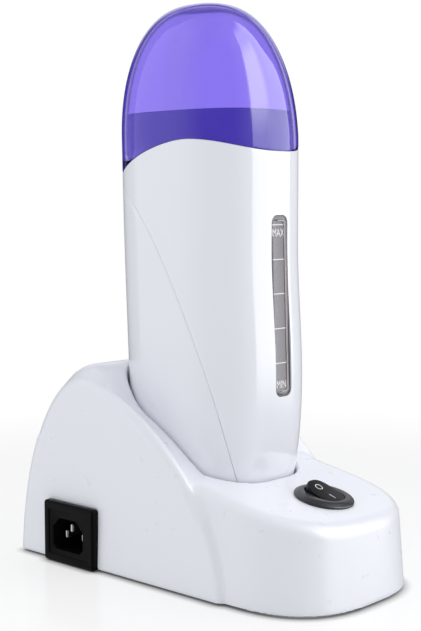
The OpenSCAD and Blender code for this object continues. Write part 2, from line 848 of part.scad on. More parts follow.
// Frame of the inlet: X runs out of the cheek, Y across it and Z up
module at_inlet()
    translate([-base_w / 2, inlet_y, inlet_z])
        rotate([0, 0, 180])
            children();

module along_x(l)
    rotate([90, 0, 90])
        linear_extrude(l)
            children();

module mouth(grow = 0)
    polygon([[-mouth_w / 2 - grow, -mouth_h / 2 - grow], [mouth_w / 2 + grow, -mouth_h / 2 - grow],
             [mouth_w / 2 + grow, mouth_h / 2 - mouth_cut],
             [mouth_w / 2 - mouth_cut, mouth_h / 2 + grow],
             [-mouth_w / 2 + mouth_cut, mouth_h / 2 + grow],
             [-mouth_w / 2 - grow, mouth_h / 2 - mouth_cut]]);

module inlet_housing() {
    color([0.1, 0.1, 0.11])
    at_inlet()
        difference() {
            union() {
                translate([-inlet_seat, 0, 0])
                    along_x(inlet_seat + inlet_out - 0.6)
                        rounded(inlet_w, inlet_h, 1);
                translate([inlet_out - 0.6, 0, 0])
                    along_x(0.6)
                        rounded(inlet_w - 1, inlet_h - 1, 1);
                translate([-tub_l, 0, 0])
                    along_x(tub_l)
                        square([tub_w, tub_h], center = true);
            }
            translate([inlet_out - 0.8, 0, 0])
                along_x(2)
                    rounded(mouth_w + 4.6, mouth_h + 4.6, 1);
            translate([inlet_out - mouth_depth, 0, 0])
                along_x(mouth_depth + cut)
                    mouth();
            for (y = [-1, 0, 1])
                pin_place(y)
                    translate([-tub_l - cut, 0, 0])
                        along_x(tub_l)
                            square([pin_w + 2 * running, pin_h + 2 * running], center = true);
        }
}

pin_w = 1.8;
pin_h = 3.4;
module pin_place(y)
    translate([0, y * pin_pitch / 2, y == 0 ? earth_up : -1.2])
        children();

module inlet_pin() {
    translate([inlet_out - mouth_depth - 6, 0, 0])
        along_x(pin_l + 6)
            square([pin_w, pin_h], center = true);
    translate([-tub_l - 7, 0, 0])
        along_x(tub_l + 7 - 16)
            square([0.8, pin_h], center = true);
}

module inlet_line_pins() {
    color("silver")
    at_inlet()
        for (y = [-1, 1])
            pin_place(y)
                inlet_pin();
}

module inlet_earth_pin() {
    color("silver")
    at_inlet()
        pin_place(0)
            inlet_pin();
}

// ---------------------------------------------------------------- switch
bezel_t = 2;
barrel_l = 15;
rocker_axis = -1.2;                    // the rocker's axis lies below the bezel's top
rocker_rise = 4.6;                     // top of the level rocker above the bezel
pivot_d = 3;
pivot_l = 0.8;
nest_l = rocker_l + 2 * clear + 0.4;
nest_w = rocker_w + 2 * clear;

// Frame of the switch: Z stands square to the deck, and its origin is in the deck's face
module at_switch()
    translate([0, -switch_y, deck_h])
        rotate([deck_slope, 0, 0])
            children();

// Oval plan of the rocker and of the hole that it moves in
module oval(w, l)
    intersection() {
        circle(l / 2, $fn = 60);
        square([w, l], center = true);
    }

module switch_housing() {
    color([0.16, 0.16, 0.17])
    at_switch()
        difference() {
            rotate_extrude($fn = 72)
                polygon([[0, -barrel_l], [barrel_d / 2 - 0.6, -barrel_l],
                         [barrel_d / 2, -barrel_l + 0.6], [barrel_d / 2, 0.05],
                         [bezel_d / 2, 0.05], [bezel_d / 2, 0.7],
                         [bezel_d / 2 - 0.5, 1.3], [barrel_d / 2 - 0.2, bezel_t], [0, bezel_t]]);
            translate([0, 0, -barrel_l + 3])
                linear_extrude(barrel_l + bezel_t)
                    oval(nest_w, nest_l);
            translate([0, 0, bezel_t + rocker_axis])
                rotate([0, 90, 0])
                    cylinder(h = nest_w + 2 * pivot_l + 0.2, d = pivot_d + 2 * running,
                             center = true, $fn = 40);
            for (y = [-1, 1])
                translate([0, y * 5, -barrel_l - cut])
                    translate([-2.6, -0.5, 0])
                        cube([5.2, 1, 4]);
        }
}

module switch_rocker() {
    half = rocker_l / 2;
    color([0.07, 0.07, 0.08])
    at_switch()
        translate([0, 0, bezel_t + rocker_axis])
            rotate([rocker_tilt, 0, 0]) {
                intersection() {
                    translate([0, 0, -8])
                        linear_extrude(20)
                            oval(rocker_w, rocker_l);
                    rotate([90, 0, 90])
                        translate([0, 0, -rocker_w / 2])
                            linear_extrude(rocker_w)
                                polygon([[-half, rocker_rise - 0.8], [-half, 1.2], [-half + 2.5, -1],
                                         [-2, -4.2], [2, -4.2], [half - 2.5, -1], [half, 1.2],
                                         [half, rocker_rise - 0.8], [half - 0.8, rocker_rise],
                                         [0, rocker_rise - 0.9], [-half + 0.8, rocker_rise]]);
                }
                rotate([0, 90, 0])
                    cylinder(h = rocker_w + 2 * pivot_l, d = pivot_d, center = true, $fn = 40);
            }
}

module switch_terminals() {
    color("gold")
    at_switch()
        for (y = [-1, 1])
            translate([-2.4, y * 5 - 0.4, -barrel_l - 7])
                cube([4.8, 0.8, 9.5]);
}

// ---------------------------------------------------------------- leads, laid by hand
tab_x = -base_w / 2 + tub_l + 6;
lead_z = 8;

module lead_live() {
    color([0.45, 0.25, 0.15])
    lead([[tab_x + 1.5, inlet_y - 5, 11.8], [tab_x + 6, inlet_y - 6, 10], [-13, 30, lead_z],
          [-23, 14, lead_z], [-25, -8, lead_z], [-20, -30, lead_z], [-8, -44, lead_z + 1],
          [-1, -47.5, lead_z + 4], [0, -48.9, 13.2]]);
}

module lead_switched() {
    color([0.45, 0.25, 0.15])
    lead([[0, -54, 11.4], [4, -52, lead_z], [8, -44, lead_z - 1], [12, -28, 7],
          [12, -10, 6], [9, 0, 5.2], [contact_pitch / 2, contact_y, 4.7]]);
}

module lead_neutral() {
    color([0.2, 0.35, 0.7])
    lead([[tab_x + 1.5, inlet_y + 5, 11.8], [tab_x + 8, inlet_y + 3, 10], [0, 34, lead_z],
          [0, 20, 6.5], [-4, 9, 5.2], [-contact_pitch / 2, contact_y, 4.7]]);
}

tag_z = sleeve_z + sleeve_l + 2;
module unit_lead_live() {
    color([0.85, 0.85, 0.82])
    lead([[-contact_pitch / 2, contact_y + 1.4, tag_z - 0.8], [-7, 16, tag_z],
          [-6, chamber_back + 4, tag_z - 0.5], [-6, chamber_back + 5, tray_z + 4],
          [-14, chamber_back + 5, element_z + 8], [-14, chamber_back + 5, element_z + element_l],
          [-9, chamber_back + 7, thermostat_z - 7],
          [-thermostat_d / 4, chamber_back + 8.2, thermostat_z - 1.6]]);
}

module unit_lead_link() {
    color([0.85, 0.85, 0.82])
    lead([[thermostat_d / 4, chamber_back + 8.2, thermostat_z + 1.6],
          [9, chamber_back + 7, thermostat_z + 6], [12, chamber_back + 4, fuse_z - 1],
          [9.4, chamber_back + fuse_d / 2, fuse_z]]);
}

module unit_lead_return() {
    color([0.85, 0.85, 0.82])
    lead([[contact_pitch / 2, contact_y + 1.4, tag_z - 0.8], [7, 16, tag_z],
          [6, chamber_back + 4, tag_z - 0.5], [6, chamber_back + 5, tray_z + 4],
          [10, chamber_back + 4, element_z - 8], [8, chamber_back + 3, element_z - 2]]);
}

cap();
collar();
front_shell();
rear_shell();
window_lens();
heater_chamber();
heater_element();
heater_clamp();
clamp_screws();
thermostat();
thermal_fuse();
chamber_tray();
socket_block();
socket_sleeves();
shell_screws();
unit_lead_live();
unit_lead_link();
unit_lead_return();
base_shell();
bottom_plate();
rubber_feet();
plate_screws();
inlet_housing();
inlet_line_pins();
inlet_earth_pin();
switch_housing();
switch_rocker();
switch_terminals();
dock_block();
dock_pins();
dock_screws();
lead_live();
lead_switched();
lead_neutral();
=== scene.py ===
"""Looks of a roll on wax heater: a hand unit with a clear violet cap, standing in a mains dock.

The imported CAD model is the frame. The outer casings, the cap, the level lens, the switch and the
inlet get smooth modelled pieces that stand for their CAD solids, and every other CAD node keeps
its shape and gets a finish. Forms are worked out in millimetres and placed in metres.
"""

import logging
import math
from dataclasses import dataclass, field, replace
from enum import Enum
from functools import cache
from typing import Callable, Iterable, Sequence

import bmesh
import bpy
from mathutils import Matrix, Vector
from mathutils.bvhtree import BVHTree
from mathutils.kdtree import KDTree


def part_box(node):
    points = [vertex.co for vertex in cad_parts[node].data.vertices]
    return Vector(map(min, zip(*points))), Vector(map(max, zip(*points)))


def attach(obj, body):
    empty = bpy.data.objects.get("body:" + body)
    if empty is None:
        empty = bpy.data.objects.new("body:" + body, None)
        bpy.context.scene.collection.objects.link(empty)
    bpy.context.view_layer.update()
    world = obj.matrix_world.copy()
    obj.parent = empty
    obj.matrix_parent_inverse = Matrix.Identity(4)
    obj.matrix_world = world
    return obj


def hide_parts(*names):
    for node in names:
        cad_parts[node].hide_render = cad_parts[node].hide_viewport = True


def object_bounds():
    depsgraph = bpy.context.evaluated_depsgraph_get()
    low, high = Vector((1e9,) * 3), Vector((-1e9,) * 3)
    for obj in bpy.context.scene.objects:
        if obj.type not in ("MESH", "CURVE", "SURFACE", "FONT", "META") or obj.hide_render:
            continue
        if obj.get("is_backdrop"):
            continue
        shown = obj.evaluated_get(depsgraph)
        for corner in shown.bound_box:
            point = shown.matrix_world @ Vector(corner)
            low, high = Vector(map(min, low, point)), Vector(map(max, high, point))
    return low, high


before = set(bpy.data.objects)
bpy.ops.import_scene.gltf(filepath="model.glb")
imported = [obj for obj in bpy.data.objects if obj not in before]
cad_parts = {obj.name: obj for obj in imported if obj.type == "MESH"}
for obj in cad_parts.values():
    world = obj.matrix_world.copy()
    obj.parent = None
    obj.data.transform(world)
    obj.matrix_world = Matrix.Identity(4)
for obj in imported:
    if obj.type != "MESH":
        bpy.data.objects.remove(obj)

LOG = logging.getLogger("wax_heater")
MM = 0.001
Ring = list[Vector]
Colour = tuple[float, float, float]


class Body(Enum):
    """The bodies that the joints move."""

    DOCK = "dock"
    HAND_UNIT = "hand_unit"
    CAP = "cap"
    ROCKER = "rocker"


class Ends(Enum):
    """How a loft closes."""

    CAPPED = "capped"
    TUBE = "tube"


class Cut(Enum):
    """What a second solid does to the first."""

    ADD = "UNION"
    REMOVE = "DIFFERENCE"
    KEEP = "INTERSECT"


# ------------------------------------------------------------------ small sums


def power(value: float, exponent: float) -> float:
    """Raise the size of a number to a power and keep its sign."""
    return math.copysign(abs(value) ** exponent, value)


def ease(t: float) -> float:
    """Smooth step from 0 to 1, flat at both ends."""
    t = min(1.0, max(0.0, t))
    return t * t * (3.0 - 2.0 * t)


def turns(count: int) -> list[float]:
    """Angles of a full turn in equal steps, in degrees."""
    return [360.0 * i / count for i in range(count)]


def steps(start: float, end: float, count: int) -> list[float]:
    """Evenly spaced values, both ends included."""
    return [start + (end - start) * i / (count - 1) for i in range(count)]


def sin_deg(angle: float) -> float:
    """Sine of an angle in degrees, exactly 0 and 1 where it should be."""
    return round(math.sin(math.radians(angle)), 12)


def cos_deg(angle: float) -> float:
    """Cosine of an angle in degrees, exactly 0 and 1 where it should be."""
    return round(math.cos(math.radians(angle)), 12)


# ------------------------------------------------------------------ mesh work


def loft(rings: Sequence[Ring], ends: Ends = Ends.CAPPED) -> bmesh.types.BMesh:
    """Draw a skin over rings with equal numbers of points.

    The first ring is a circle whose points are moved into place. Each further ring is the last
    one extruded and moved.

    Args:
        rings: Points of each ring in millimetres, in the same order round the form.
        ends: CAPPED closes both ends, and TUBE joins the last ring to the first.

    Returns:
        The closed skin, in metres, with its faces pointing outwards.
    """
    bm = bmesh.new()
    loop = list(bmesh.ops.create_circle(bm, segments=len(rings[0]), radius=1.0)["verts"])
    for vert, place in zip(loop, rings[0]):
        vert.co = place * MM
    start = edges = list(bm.edges)
    for ring in rings[1:]:
        made = bmesh.ops.extrude_edge_only(bm, edges=edges)["geom"]
        fresh = {g for g in made if isinstance(g, bmesh.types.BMVert)}
        loop = [next(e.other_vert(v) for e in v.link_edges if e.other_vert(v) in fresh) for v in loop]
        edges = [g for g in made if isinstance(g, bmesh.types.BMEdge) and set(g.verts) <= fresh]
        for vert, place in zip(loop, ring):
            vert.co = place * MM
    if ends is Ends.TUBE:
        bmesh.ops.bridge_loops(bm, edges=start + edges)
    else:
        for rim in (start, edges):
            lids = bmesh.ops.contextual_create(bm, geom=rim)["faces"]
            bmesh.ops.poke(bm, faces=lids)
    bmesh.ops.recalc_face_normals(bm, faces=bm.faces)
    return bm


def plate(outline: Iterable[tuple[float, float]], low: float, high: float) -> bmesh.types.BMesh:
    """Raise a flat outline into a plate.

    Args:
        outline: Corners of the outline in millimetres, in X and Y.
        low: Height of the plate's underside in millimetres.
        high: Height of its top.

    Returns:
        The closed plate, in metres.
    """
    bm = bmesh.new()
    corners = [bm.verts.new((x * MM, y * MM, low * MM)) for x, y in outline]
    face = bm.faces.new(corners)
    made = bmesh.ops.extrude_face_region(bm, geom=[face])["geom"]
    rising = [g for g in made if isinstance(g, bmesh.types.BMVert)]
    bmesh.ops.translate(bm, verts=rising, vec=(0, 0, (high - low) * MM))
    bmesh.ops.recalc_face_normals(bm, faces=bm.faces)
    return bm


def round_box(width: float, height: float, radius: float, segments: int = 10) -> list[tuple[float, float]]:
    """Corners of a rectangle with round corners, about the middle.

    Args:
        width: Its size along X in millimetres.
        height: Its size along Y.
        radius: Radius of its corners.
        segments: Points in each corner.

    Returns:
        The corners, anticlockwise.
    """
    arcs = [(1, 1, 0), (-1, 1, 90), (-1, -1, 180), (1, -1, 270)]
    return [
        (
            sx * (width / 2 - radius) + radius * cos_deg(start + turn),
            sy * (height / 2 - radius) + radius * sin_deg(start + turn),
        )
        for sx, sy, start in arcs
        for turn in steps(0, 90, segments)
    ]


def slot_outline(width: float, depth: float, segments: int = 20) -> list[tuple[float, float]]:
    """Corners of a slot with round ends along X.

    Args:
        width: Its whole length in millimetres.
        depth: Its size along Y.
        segments: Points in each round end.

    Returns:
        The corners, anticlockwise.
    """
    reach = (width - depth) / 2
    return [
        (side * reach + depth / 2 * cos_deg(start + turn), depth / 2 * sin_deg(start + turn))
        for side, start in ((1, -90), (-1, 90))
        for turn in steps(0, 180, segments)
    ]


def spun(profile: Sequence[tuple[float, float]], segments: int = 96) -> bmesh.types.BMesh:
    """Spin a profile of radius and height, in millimetres, once round Z.

    Args:
        profile: Points from the axis out and back to it.
        segments: Steps in the full turn.

    Returns:
        The closed solid, in metres.
    """
    bm = bmesh.new()
    verts = [bm.verts.new((r * MM, 0, z * MM)) for r, z in profile]
    edges = [bm.edges.new(pair) for pair in zip(verts, verts[1:])]
    bmesh.ops.spin(
        bm, geom=verts + edges, cent=(0, 0, 0), axis=(0, 0, 1), angle=math.tau,
        steps=segments, use_merge=True,
    )
    bmesh.ops.remove_doubles(bm, verts=bm.verts, dist=0.001 * MM)
    bmesh.ops.recalc_face_normals(bm, faces=bm.faces)
    return bm


def rod(radius: float, low: float, high: float, segments: int = 48) -> bmesh.types.BMesh:
    """A round rod along Z, in millimetres, with its ends closed."""
    return spun([(0, low), (radius, low), (radius, high), (0, high)], segments)


def solid(
    name: str, bm: bmesh.types.BMesh, place: Matrix | None = None, crease: float = 32.0,
) -> bpy.types.Object:
    """Turn a bmesh into an object at the origin, shaded smooth up to a crease angle.

    Args:
        name: Name of the piece.
        bm: Its mesh, which is freed.
        place: Where the mesh goes, in metres.
        crease: Edges that turn more than this many degrees stay sharp.

    Returns:
        The new object, linked to the scene.
    """
    if place is not None:
        bmesh.ops.transform(bm, matrix=place, verts=bm.verts)
    mesh = bpy.data.meshes.new(name)
    bm.to_mesh(mesh)
    bm.free()
    piece = bpy.data.objects.new(name, mesh)
    bpy.context.scene.collection.objects.link(piece)
    shade(piece, crease)
    return piece


def shade(piece: bpy.types.Object, crease: float) -> None:
    """Shade a piece smooth and keep edges sharp past an angle in degrees."""
    piece.data.shade_smooth()
    piece.data.set_sharp_from_angle(angle=math.radians(crease))


def settle(piece: bpy.types.Object) -> None:
    """Apply a piece's modifiers to its mesh.

    Args:
        piece: The piece, which gets the new mesh.
    """
    seen = piece.evaluated_get(bpy.context.evaluated_depsgraph_get())
    mesh = bpy.data.meshes.new_from_object(seen)
    old = piece.data
    piece.modifiers.clear()
    piece.data = mesh
    bpy.data.meshes.remove(old)
    mesh.name = piece.name


def drop(piece: bpy.types.Object) -> None:
    """Remove a helper object and its mesh.

    Args:
        piece: The helper.
    """
    mesh = piece.data
    bpy.data.objects.remove(piece)
    bpy.data.meshes.remove(mesh)


def work(piece: bpy.types.Object, how: Cut, *tools: bmesh.types.BMesh) -> None:
    """Add solids to a piece, take them off it, or keep what they share.

    Args:
        piece: The piece to work on.
        how: Which of the three.
        tools: The solids, which are used up.
    """
    helpers = [solid("tool", tool) for tool in tools]
    for helper in helpers:
        step = piece.modifiers.new(how.value, "BOOLEAN")
        step.operation = how.value
        step.solver = "EXACT"
        step.object = helper
    settle(piece)
    for helper in helpers:
        drop(helper)


def soften(piece: bpy.types.Object, width: float, segments: int = 3, angle: float = 35.0) -> None:
    """Round a piece's sharp edges by a width in millimetres.

    Args:
        piece: The piece.
        width: Width of the rounding.
        segments: Steps across it.
        angle: Edges that turn more than this many degrees are rounded.
    """
    step = piece.modifiers.new("soft edges", "BEVEL")
    step.width = width * MM
    step.segments = segments
    step.limit_method = "ANGLE"
    step.angle_limit = math.radians(angle)
    step.miter_outer = "MITER_ARC"
    settle(piece)
    shade(piece, angle)


# ------------------------------------------------------------------ shader groups


class GroupMaker:
    """Builds a shader node group with named sockets."""

    def __init__(self, name: str) -> None:
        """Start an empty group.

        Args:
            name: Name of the group.
        """
        self.tree = bpy.data.node_groups.new(name, "ShaderNodeTree")
        self.inputs = self.tree.nodes.new("NodeGroupInput")
        self.outputs = self.tree.nodes.new("NodeGroupOutput")

    def takes(self, name: str, kind: str, value: object = None) -> bpy.types.NodeSocket:
        """Add an input with a default value and return its socket inside the group.

        Args:
            name: Name of the input.
            kind: Its socket type.
            value: Its default value, if it has one.

        Returns:
            Its socket inside the group.
        """
        made = self.tree.interface.new_socket(name=name, in_out="INPUT", socket_type=kind)
        if value is not None:
            made.default_value = value
        return self.inputs.outputs[name]

    def gives(self, name: str, kind: str, source: bpy.types.NodeSocket) -> None:
        """Add an output that puts out a value."""
        self.tree.interface.new_socket(name=name, in_out="OUTPUT", socket_type=kind)
        self.tree.links.new(source, self.outputs.inputs[name])

    def node(self, kind: str, **settings: object) -> bpy.types.Node:
        """Add a node, with its properties set.

        Args:
            kind: Type of the node.
            settings: Its properties by name.

        Returns:
            The node.
        """
        made = self.tree.nodes.new(kind)
        for key, value in settings.items():
            setattr(made, key, value)
        return made

    def join(self, source: bpy.types.NodeSocket, target: bpy.types.NodeSocket) -> None:
        """Link two sockets."""
        self.tree.links.new(source, target)

    def noise(self, vector: bpy.types.NodeSocket, scale: float, detail: float = 3.0) -> bpy.types.NodeSocket:
        """Noise over a vector, from 0 to 1.

        Args:
            vector: Where the noise is read.
            scale: Its scale.
            detail: Its number of finer layers.

        Returns:
            The noise's socket.
        """
        made = self.node("ShaderNodeTexNoise")
        made.inputs["Scale"].default_value = scale
        made.inputs["Detail"].default_value = detail
        self.join(vector, made.inputs["Vector"])
        return made.outputs["Fac"]

    def maths(self, operation: str, a: object, b: object = 0.0, c: object = 0.0) -> bpy.types.NodeSocket:
        """Sum of sockets or numbers.

        Args:
            operation: The sum.
            a: First value, a socket or a number.
            b: Second value.
            c: Third value.

        Returns:
            The result's socket.
        """
        made = self.node("ShaderNodeMath", operation=operation)
        for place, value in zip(made.inputs, (a, b, c)):
            if isinstance(value, bpy.types.NodeSocket):
                self.join(value, place)
            else:
                place.default_value = value
        return made.outputs[0]

    def spread(self, mask: bpy.types.NodeSocket, low: object, high: object) -> bpy.types.NodeSocket:
        """Map a 0 to 1 mask onto a range.

        Args:
            mask: The mask.
            low: Value at 0, a socket or a number.
            high: Value at 1.

        Returns:
            The result's socket.
        """
        made = self.node("ShaderNodeMapRange")
        self.join(mask, made.inputs["Value"])
        for place, value in (("To Min", low), ("To Max", high)):
            if isinstance(value, bpy.types.NodeSocket):
                self.join(value, made.inputs[place])
            else:
                made.inputs[place].default_value = value
        return made.outputs["Result"]

    def blend(self, mask: bpy.types.NodeSocket, a: object, b: object) -> bpy.types.NodeSocket:
        """Mix two colours by a mask.

        Args:
            mask: The mask.
            a: Colour at 0, a socket or a value.
            b: Colour at 1.

        Returns:
            The mixed colour's socket.
        """
        made = self.node("ShaderNodeMix", data_type="RGBA")
        self.join(mask, made.inputs["Factor"])
        for place, value in ((made.inputs[6], a), (made.inputs[7], b)):
            if isinstance(value, bpy.types.NodeSocket):
                self.join(value, place)
            else:
                place.default_value = value
        return made.outputs[2]


@cache
def moulded_skin() -> bpy.types.NodeTree:
    """Skin of a moulded part: a slow ripple, a fine grain and a little unevenness in tone and gloss.

    Returns:
        The shader group.
    """
    g = GroupMaker("moulded skin")
    vector = g.takes("Vector", "NodeSocketVector")
    tone = g.takes("Tone", "NodeSocketColor", (0.8, 0.8, 0.8, 1))
    shade_tone = g.takes("Shade Tone", "NodeSocketColor", (0.75, 0.75, 0.75, 1))
    gloss = g.takes("Roughness", "NodeSocketFloat", 0.2)
    uneven = g.takes("Unevenness", "NodeSocketFloat", 0.03)
    ripple = g.takes("Ripple", "NodeSocketFloat", 0.5)
    grain = g.takes("Grain", "NodeSocketFloat", 0.2)
    broad = g.noise(vector, 26.0, 2.0)
    fine = g.noise(vector, 2600.0, 2.0)
    middle = g.noise(vector, 210.0, 2.0)
    g.gives("Color", "NodeSocketColor", g.blend(broad, tone, shade_tone))
    half = g.maths("MULTIPLY", uneven, 0.5)
    g.gives(
        "Roughness", "NodeSocketFloat",
        g.spread(middle, g.maths("SUBTRACT", gloss, half), g.maths("ADD", gloss, half)),
    )
    waves = g.maths("MULTIPLY", middle, ripple)
    g.gives("Height", "NodeSocketFloat", g.maths("MULTIPLY_ADD", fine, grain, waves))
    return g.tree


@cache
def metal_marks() -> bpy.types.NodeTree:
    """Drawn or brushed metal: long fine lines along one axis, with light stains.

    Returns:
        The shader group.
    """
    g = GroupMaker("metal marks")
    vector = g.takes("Vector", "NodeSocketVector")
    tone = g.takes("Tone", "NodeSocketColor", (0.7, 0.7, 0.7, 1))
    stain = g.takes("Stain", "NodeSocketColor", (0.6, 0.6, 0.6, 1))
    gloss = g.takes("Roughness", "NodeSocketFloat", 0.3)
    depth = g.takes("Depth", "NodeSocketFloat", 0.5)
    lines = g.noise(vector, 900.0, 4.0)
    cloud = g.noise(vector, 60.0, 3.0)
    g.gives("Color", "NodeSocketColor", g.blend(cloud, tone, stain))
    g.gives("Roughness", "NodeSocketFloat", g.spread(lines, gloss, g.maths("ADD", gloss, 0.14)))
    g.gives("Height", "NodeSocketFloat", g.maths("MULTIPLY", lines, depth))
    return g.tree


# ------------------------------------------------------------------ finishes


@dataclass(frozen=True)
class Finish:
    """What every finish shares: a material with a Principled shader."""

    name: str

    def start(self) -> tuple[bpy.types.Material, bpy.types.Node]:
        """Make an empty material.

        Returns:
            The material and its Principled shader.
        """
        made = bpy.data.materials.new(self.name)
        made.use_nodes = True
        return made, made.node_tree.nodes["Principled BSDF"]

    def place(
        self, made: bpy.types.Material, group: bpy.types.NodeTree, stretch: Sequence[float] = (1, 1, 1),
        **values: object,
    ) -> bpy.types.Node:
        """Put a group in a material, on object coordinates.

        Args:
            made: The material.
            group: The shader group.
            stretch: Scale of its pattern along each axis.
            values: Its inputs by name, with spaces written as underscores.

        Returns:
            The group's node.
        """
        tree = made.node_tree
        where = tree.nodes.new("ShaderNodeTexCoord")
        mapping = tree.nodes.new("ShaderNodeMapping")
        mapping.inputs["Scale"].default_value = stretch
        node = tree.nodes.new("ShaderNodeGroup")
        node.node_tree = group
        tree.links.new(where.outputs["Object"], mapping.inputs["Vector"])
        tree.links.new(mapping.outputs["Vector"], node.inputs["Vector"])
        for key, value in values.items():
            node.inputs[key.replace("_", " ")].default_value = value
        return node

    def wire(
        self, made: bpy.types.Material, node: bpy.types.Node, shader: bpy.types.Node, relief: float,
    ) -> None:
        """Link a group's colour, roughness and height to the shader.

        Args:
            made: The material.
            node: The group's node.
            shader: The Principled shader.
            relief: Height of the relief in millimetres.
        """
        tree = made.node_tree
        tree.links.new(node.outputs["Color"], shader.inputs["Base Color"])
        tree.links.new(node.outputs["Roughness"], shader.inputs["Roughness"])
        bump = tree.nodes.new("ShaderNodeBump")
        bump.inputs["Strength"].default_value = 1.0
        bump.inputs["Distance"].default_value = relief * MM
        tree.links.new(node.outputs["Height"], bump.inputs["Height"])
        tree.links.new(bump.outputs["Normal"], shader.inputs["Normal"])


def solid_tone(colour: Colour) -> tuple[float, float, float, float]:
    """A colour with full alpha."""
    return (*colour, 1.0)


def darker(colour: Colour, share: float) -> tuple[float, float, float, float]:
    """A colour scaled down by a share, with full alpha."""
    return (*(c * (1 - share) for c in colour), 1.0)


@dataclass(frozen=True)
class MouldedPlastic(Finish):
    """Opaque moulded plastic, from high gloss to a fine satin."""

    tone: Colour
    roughness: float = 0.2
    uneven: float = 0.02
    relief: float = 0.004
    ripple: float = 0.6
    grain: float = 0.1
    mottle: float = 0.02
    coat: float = 0.0
    specular: float = 0.5

    def make(self) -> bpy.types.Material:
        """Build the material.

        Returns:
            The new material.
        """
        made, shader = self.start()
        skin = self.place(
            made, moulded_skin(), Tone=solid_tone(self.tone), Shade_Tone=darker(self.tone, self.mottle),
            Roughness=self.roughness, Unevenness=self.uneven, Ripple=self.ripple, Grain=self.grain,
        )
        self.wire(made, skin, shader, self.relief)
        shader.inputs["Coat Weight"].default_value = self.coat
        shader.inputs["Coat Roughness"].default_value = 0.04
        shader.inputs["Specular IOR Level"].default_value = self.specular
        return made


@dataclass(frozen=True)
class ClearPlastic(Finish):
    """Tinted see-through plastic with a polished face, deeper in tone where it is seen edge on."""

    tone: Colour
    edge_tone: Colour
    roughness: float = 0.03
    clear: float = 1.0
    mottle: float = 0.03
    relief: float = 0.002
    edge_band: tuple[float, float] = (0.58, 0.72)
    edge_clear: float = 0.6

    def make(self) -> bpy.types.Material:
        """Build the material.

        Returns:
            The new material.
        """
        made, shader = self.start()
        skin = self.place(
            made, moulded_skin(), Tone=solid_tone(self.tone), Shade_Tone=darker(self.tone, self.mottle),
            Roughness=self.roughness, Unevenness=0.02, Ripple=0.5, Grain=0.02,
        )
        self.wire(made, skin, shader, self.relief)
        tree = made.node_tree
        facing = tree.nodes.new("ShaderNodeLayerWeight")
        facing.inputs["Blend"].default_value = 0.5
        band = tree.nodes.new("ShaderNodeMapRange")
        band.interpolation_type = "SMOOTHSTEP"
        band.inputs["From Min"].default_value, band.inputs["From Max"].default_value = self.edge_band
        mix = tree.nodes.new("ShaderNodeMix")
        mix.data_type = "RGBA"
        mix.inputs[7].default_value = solid_tone(self.edge_tone)
        tree.links.new(facing.outputs["Facing"], band.inputs["Value"])
        tree.links.new(band.outputs["Result"], mix.inputs["Factor"])
        tree.links.new(skin.outputs["Color"], mix.inputs[6])
        tree.links.new(mix.outputs[2], shader.inputs["Base Color"])
        milky = tree.nodes.new("ShaderNodeMapRange")
        milky.inputs["To Min"].default_value = self.clear
        milky.inputs["To Max"].default_value = self.clear * self.edge_clear
        tree.links.new(band.outputs["Result"], milky.inputs["Value"])
        tree.links.new(milky.outputs["Result"], shader.inputs["Transmission Weight"])
        shader.inputs["IOR"].default_value = 1.49
        return made


@dataclass(frozen=True)
class Metal(Finish):
    """Bare or plated metal with lines along one axis."""

    tone: Colour
    roughness: float = 0.25
    lines: tuple[float, float, float] = (1.0, 1.0, 0.05)
    depth: float = 0.6
    relief: float = 0.003

    def make(self) -> bpy.types.Material:
        """Build the material.

        Returns:
            The new material.
        """
        made, shader = self.start()
        marks = self.place(
            made, metal_marks(), self.lines, Tone=solid_tone(self.tone), Stain=darker(self.tone, 0.12),
            Roughness=self.roughness, Depth=self.depth,
        )
        self.wire(made, marks, shader, self.relief)
        shader.inputs["Metallic"].default_value = 1.0
        return made


GLOSS_WHITE = MouldedPlastic(
    "gloss white moulding", (0.85, 0.865, 0.92), roughness=0.10, uneven=0.02, relief=0.0012, ripple=0.7,
    grain=0.05, mottle=0.015, specular=0.55,
)
DOCK_WHITE = replace(GLOSS_WHITE, name="satin white moulding", roughness=0.28, uneven=0.03)
CAP_VIOLET = ClearPlastic(
    "clear violet cap", (0.52, 0.435, 0.97), (0.028, 0.012, 0.42), roughness=0.02,
)
COLLAR_VIOLET = MouldedPlastic(
    "violet collar", (0.16, 0.085, 0.70), roughness=0.16, relief=0.001, mottle=0.04, specular=1.0, coat=1.0,
)
LENS_SMOKE = ClearPlastic("smoke lens", (0.27, 0.25, 0.275), (0.12, 0.11, 0.12), roughness=0.05, clear=0.55)
# Darker smoke for a band along the lens's edge: painted shade where the lens's edge and bevel fall dark.
LENS_PAINTED_SHADE = ClearPlastic(
    "smoke lens edge painted shade", (0.06, 0.055, 0.06), (0.03, 0.03, 0.03), roughness=0.08, clear=0.3,
)
# Pale step colour: a painted highlight along the lens's inner step.
LENS_PAINTED_HIGHLIGHT = MouldedPlastic("smoke lens step painted highlight", (0.50, 0.44, 0.42), roughness=0.25, relief=0.001, mottle=0.05)
SWITCH_BLACK = MouldedPlastic(
    "rocker black", (0.006, 0.006, 0.007), roughness=0.42, uneven=0.06, relief=0.003, grain=0.7, mottle=0.2,
    specular=0.14,
)
BEZEL_GREY = MouldedPlastic(
    "bezel charcoal", (0.035, 0.035, 0.039), roughness=0.34, uneven=0.06, relief=0.003, grain=0.6,
    mottle=0.15, specular=0.4,
)
INLET_BLACK = MouldedPlastic(
    "inlet black", (0.003, 0.003, 0.0035), roughness=0.36, uneven=0.08, relief=0.003, grain=0.6, mottle=0.2,
    specular=0.09,
)
TRAY_GREY = MouldedPlastic(
    "heat resistant grey", (0.06, 0.06, 0.065), roughness=0.55, uneven=0.1, relief=0.006, grain=1.0,
    mottle=0.15,
)
PLATE_GREY = MouldedPlastic(
    "textured underside", (0.72, 0.73, 0.77), roughness=0.45, uneven=0.1, relief=0.008, grain=1.0,
    mottle=0.03,
)
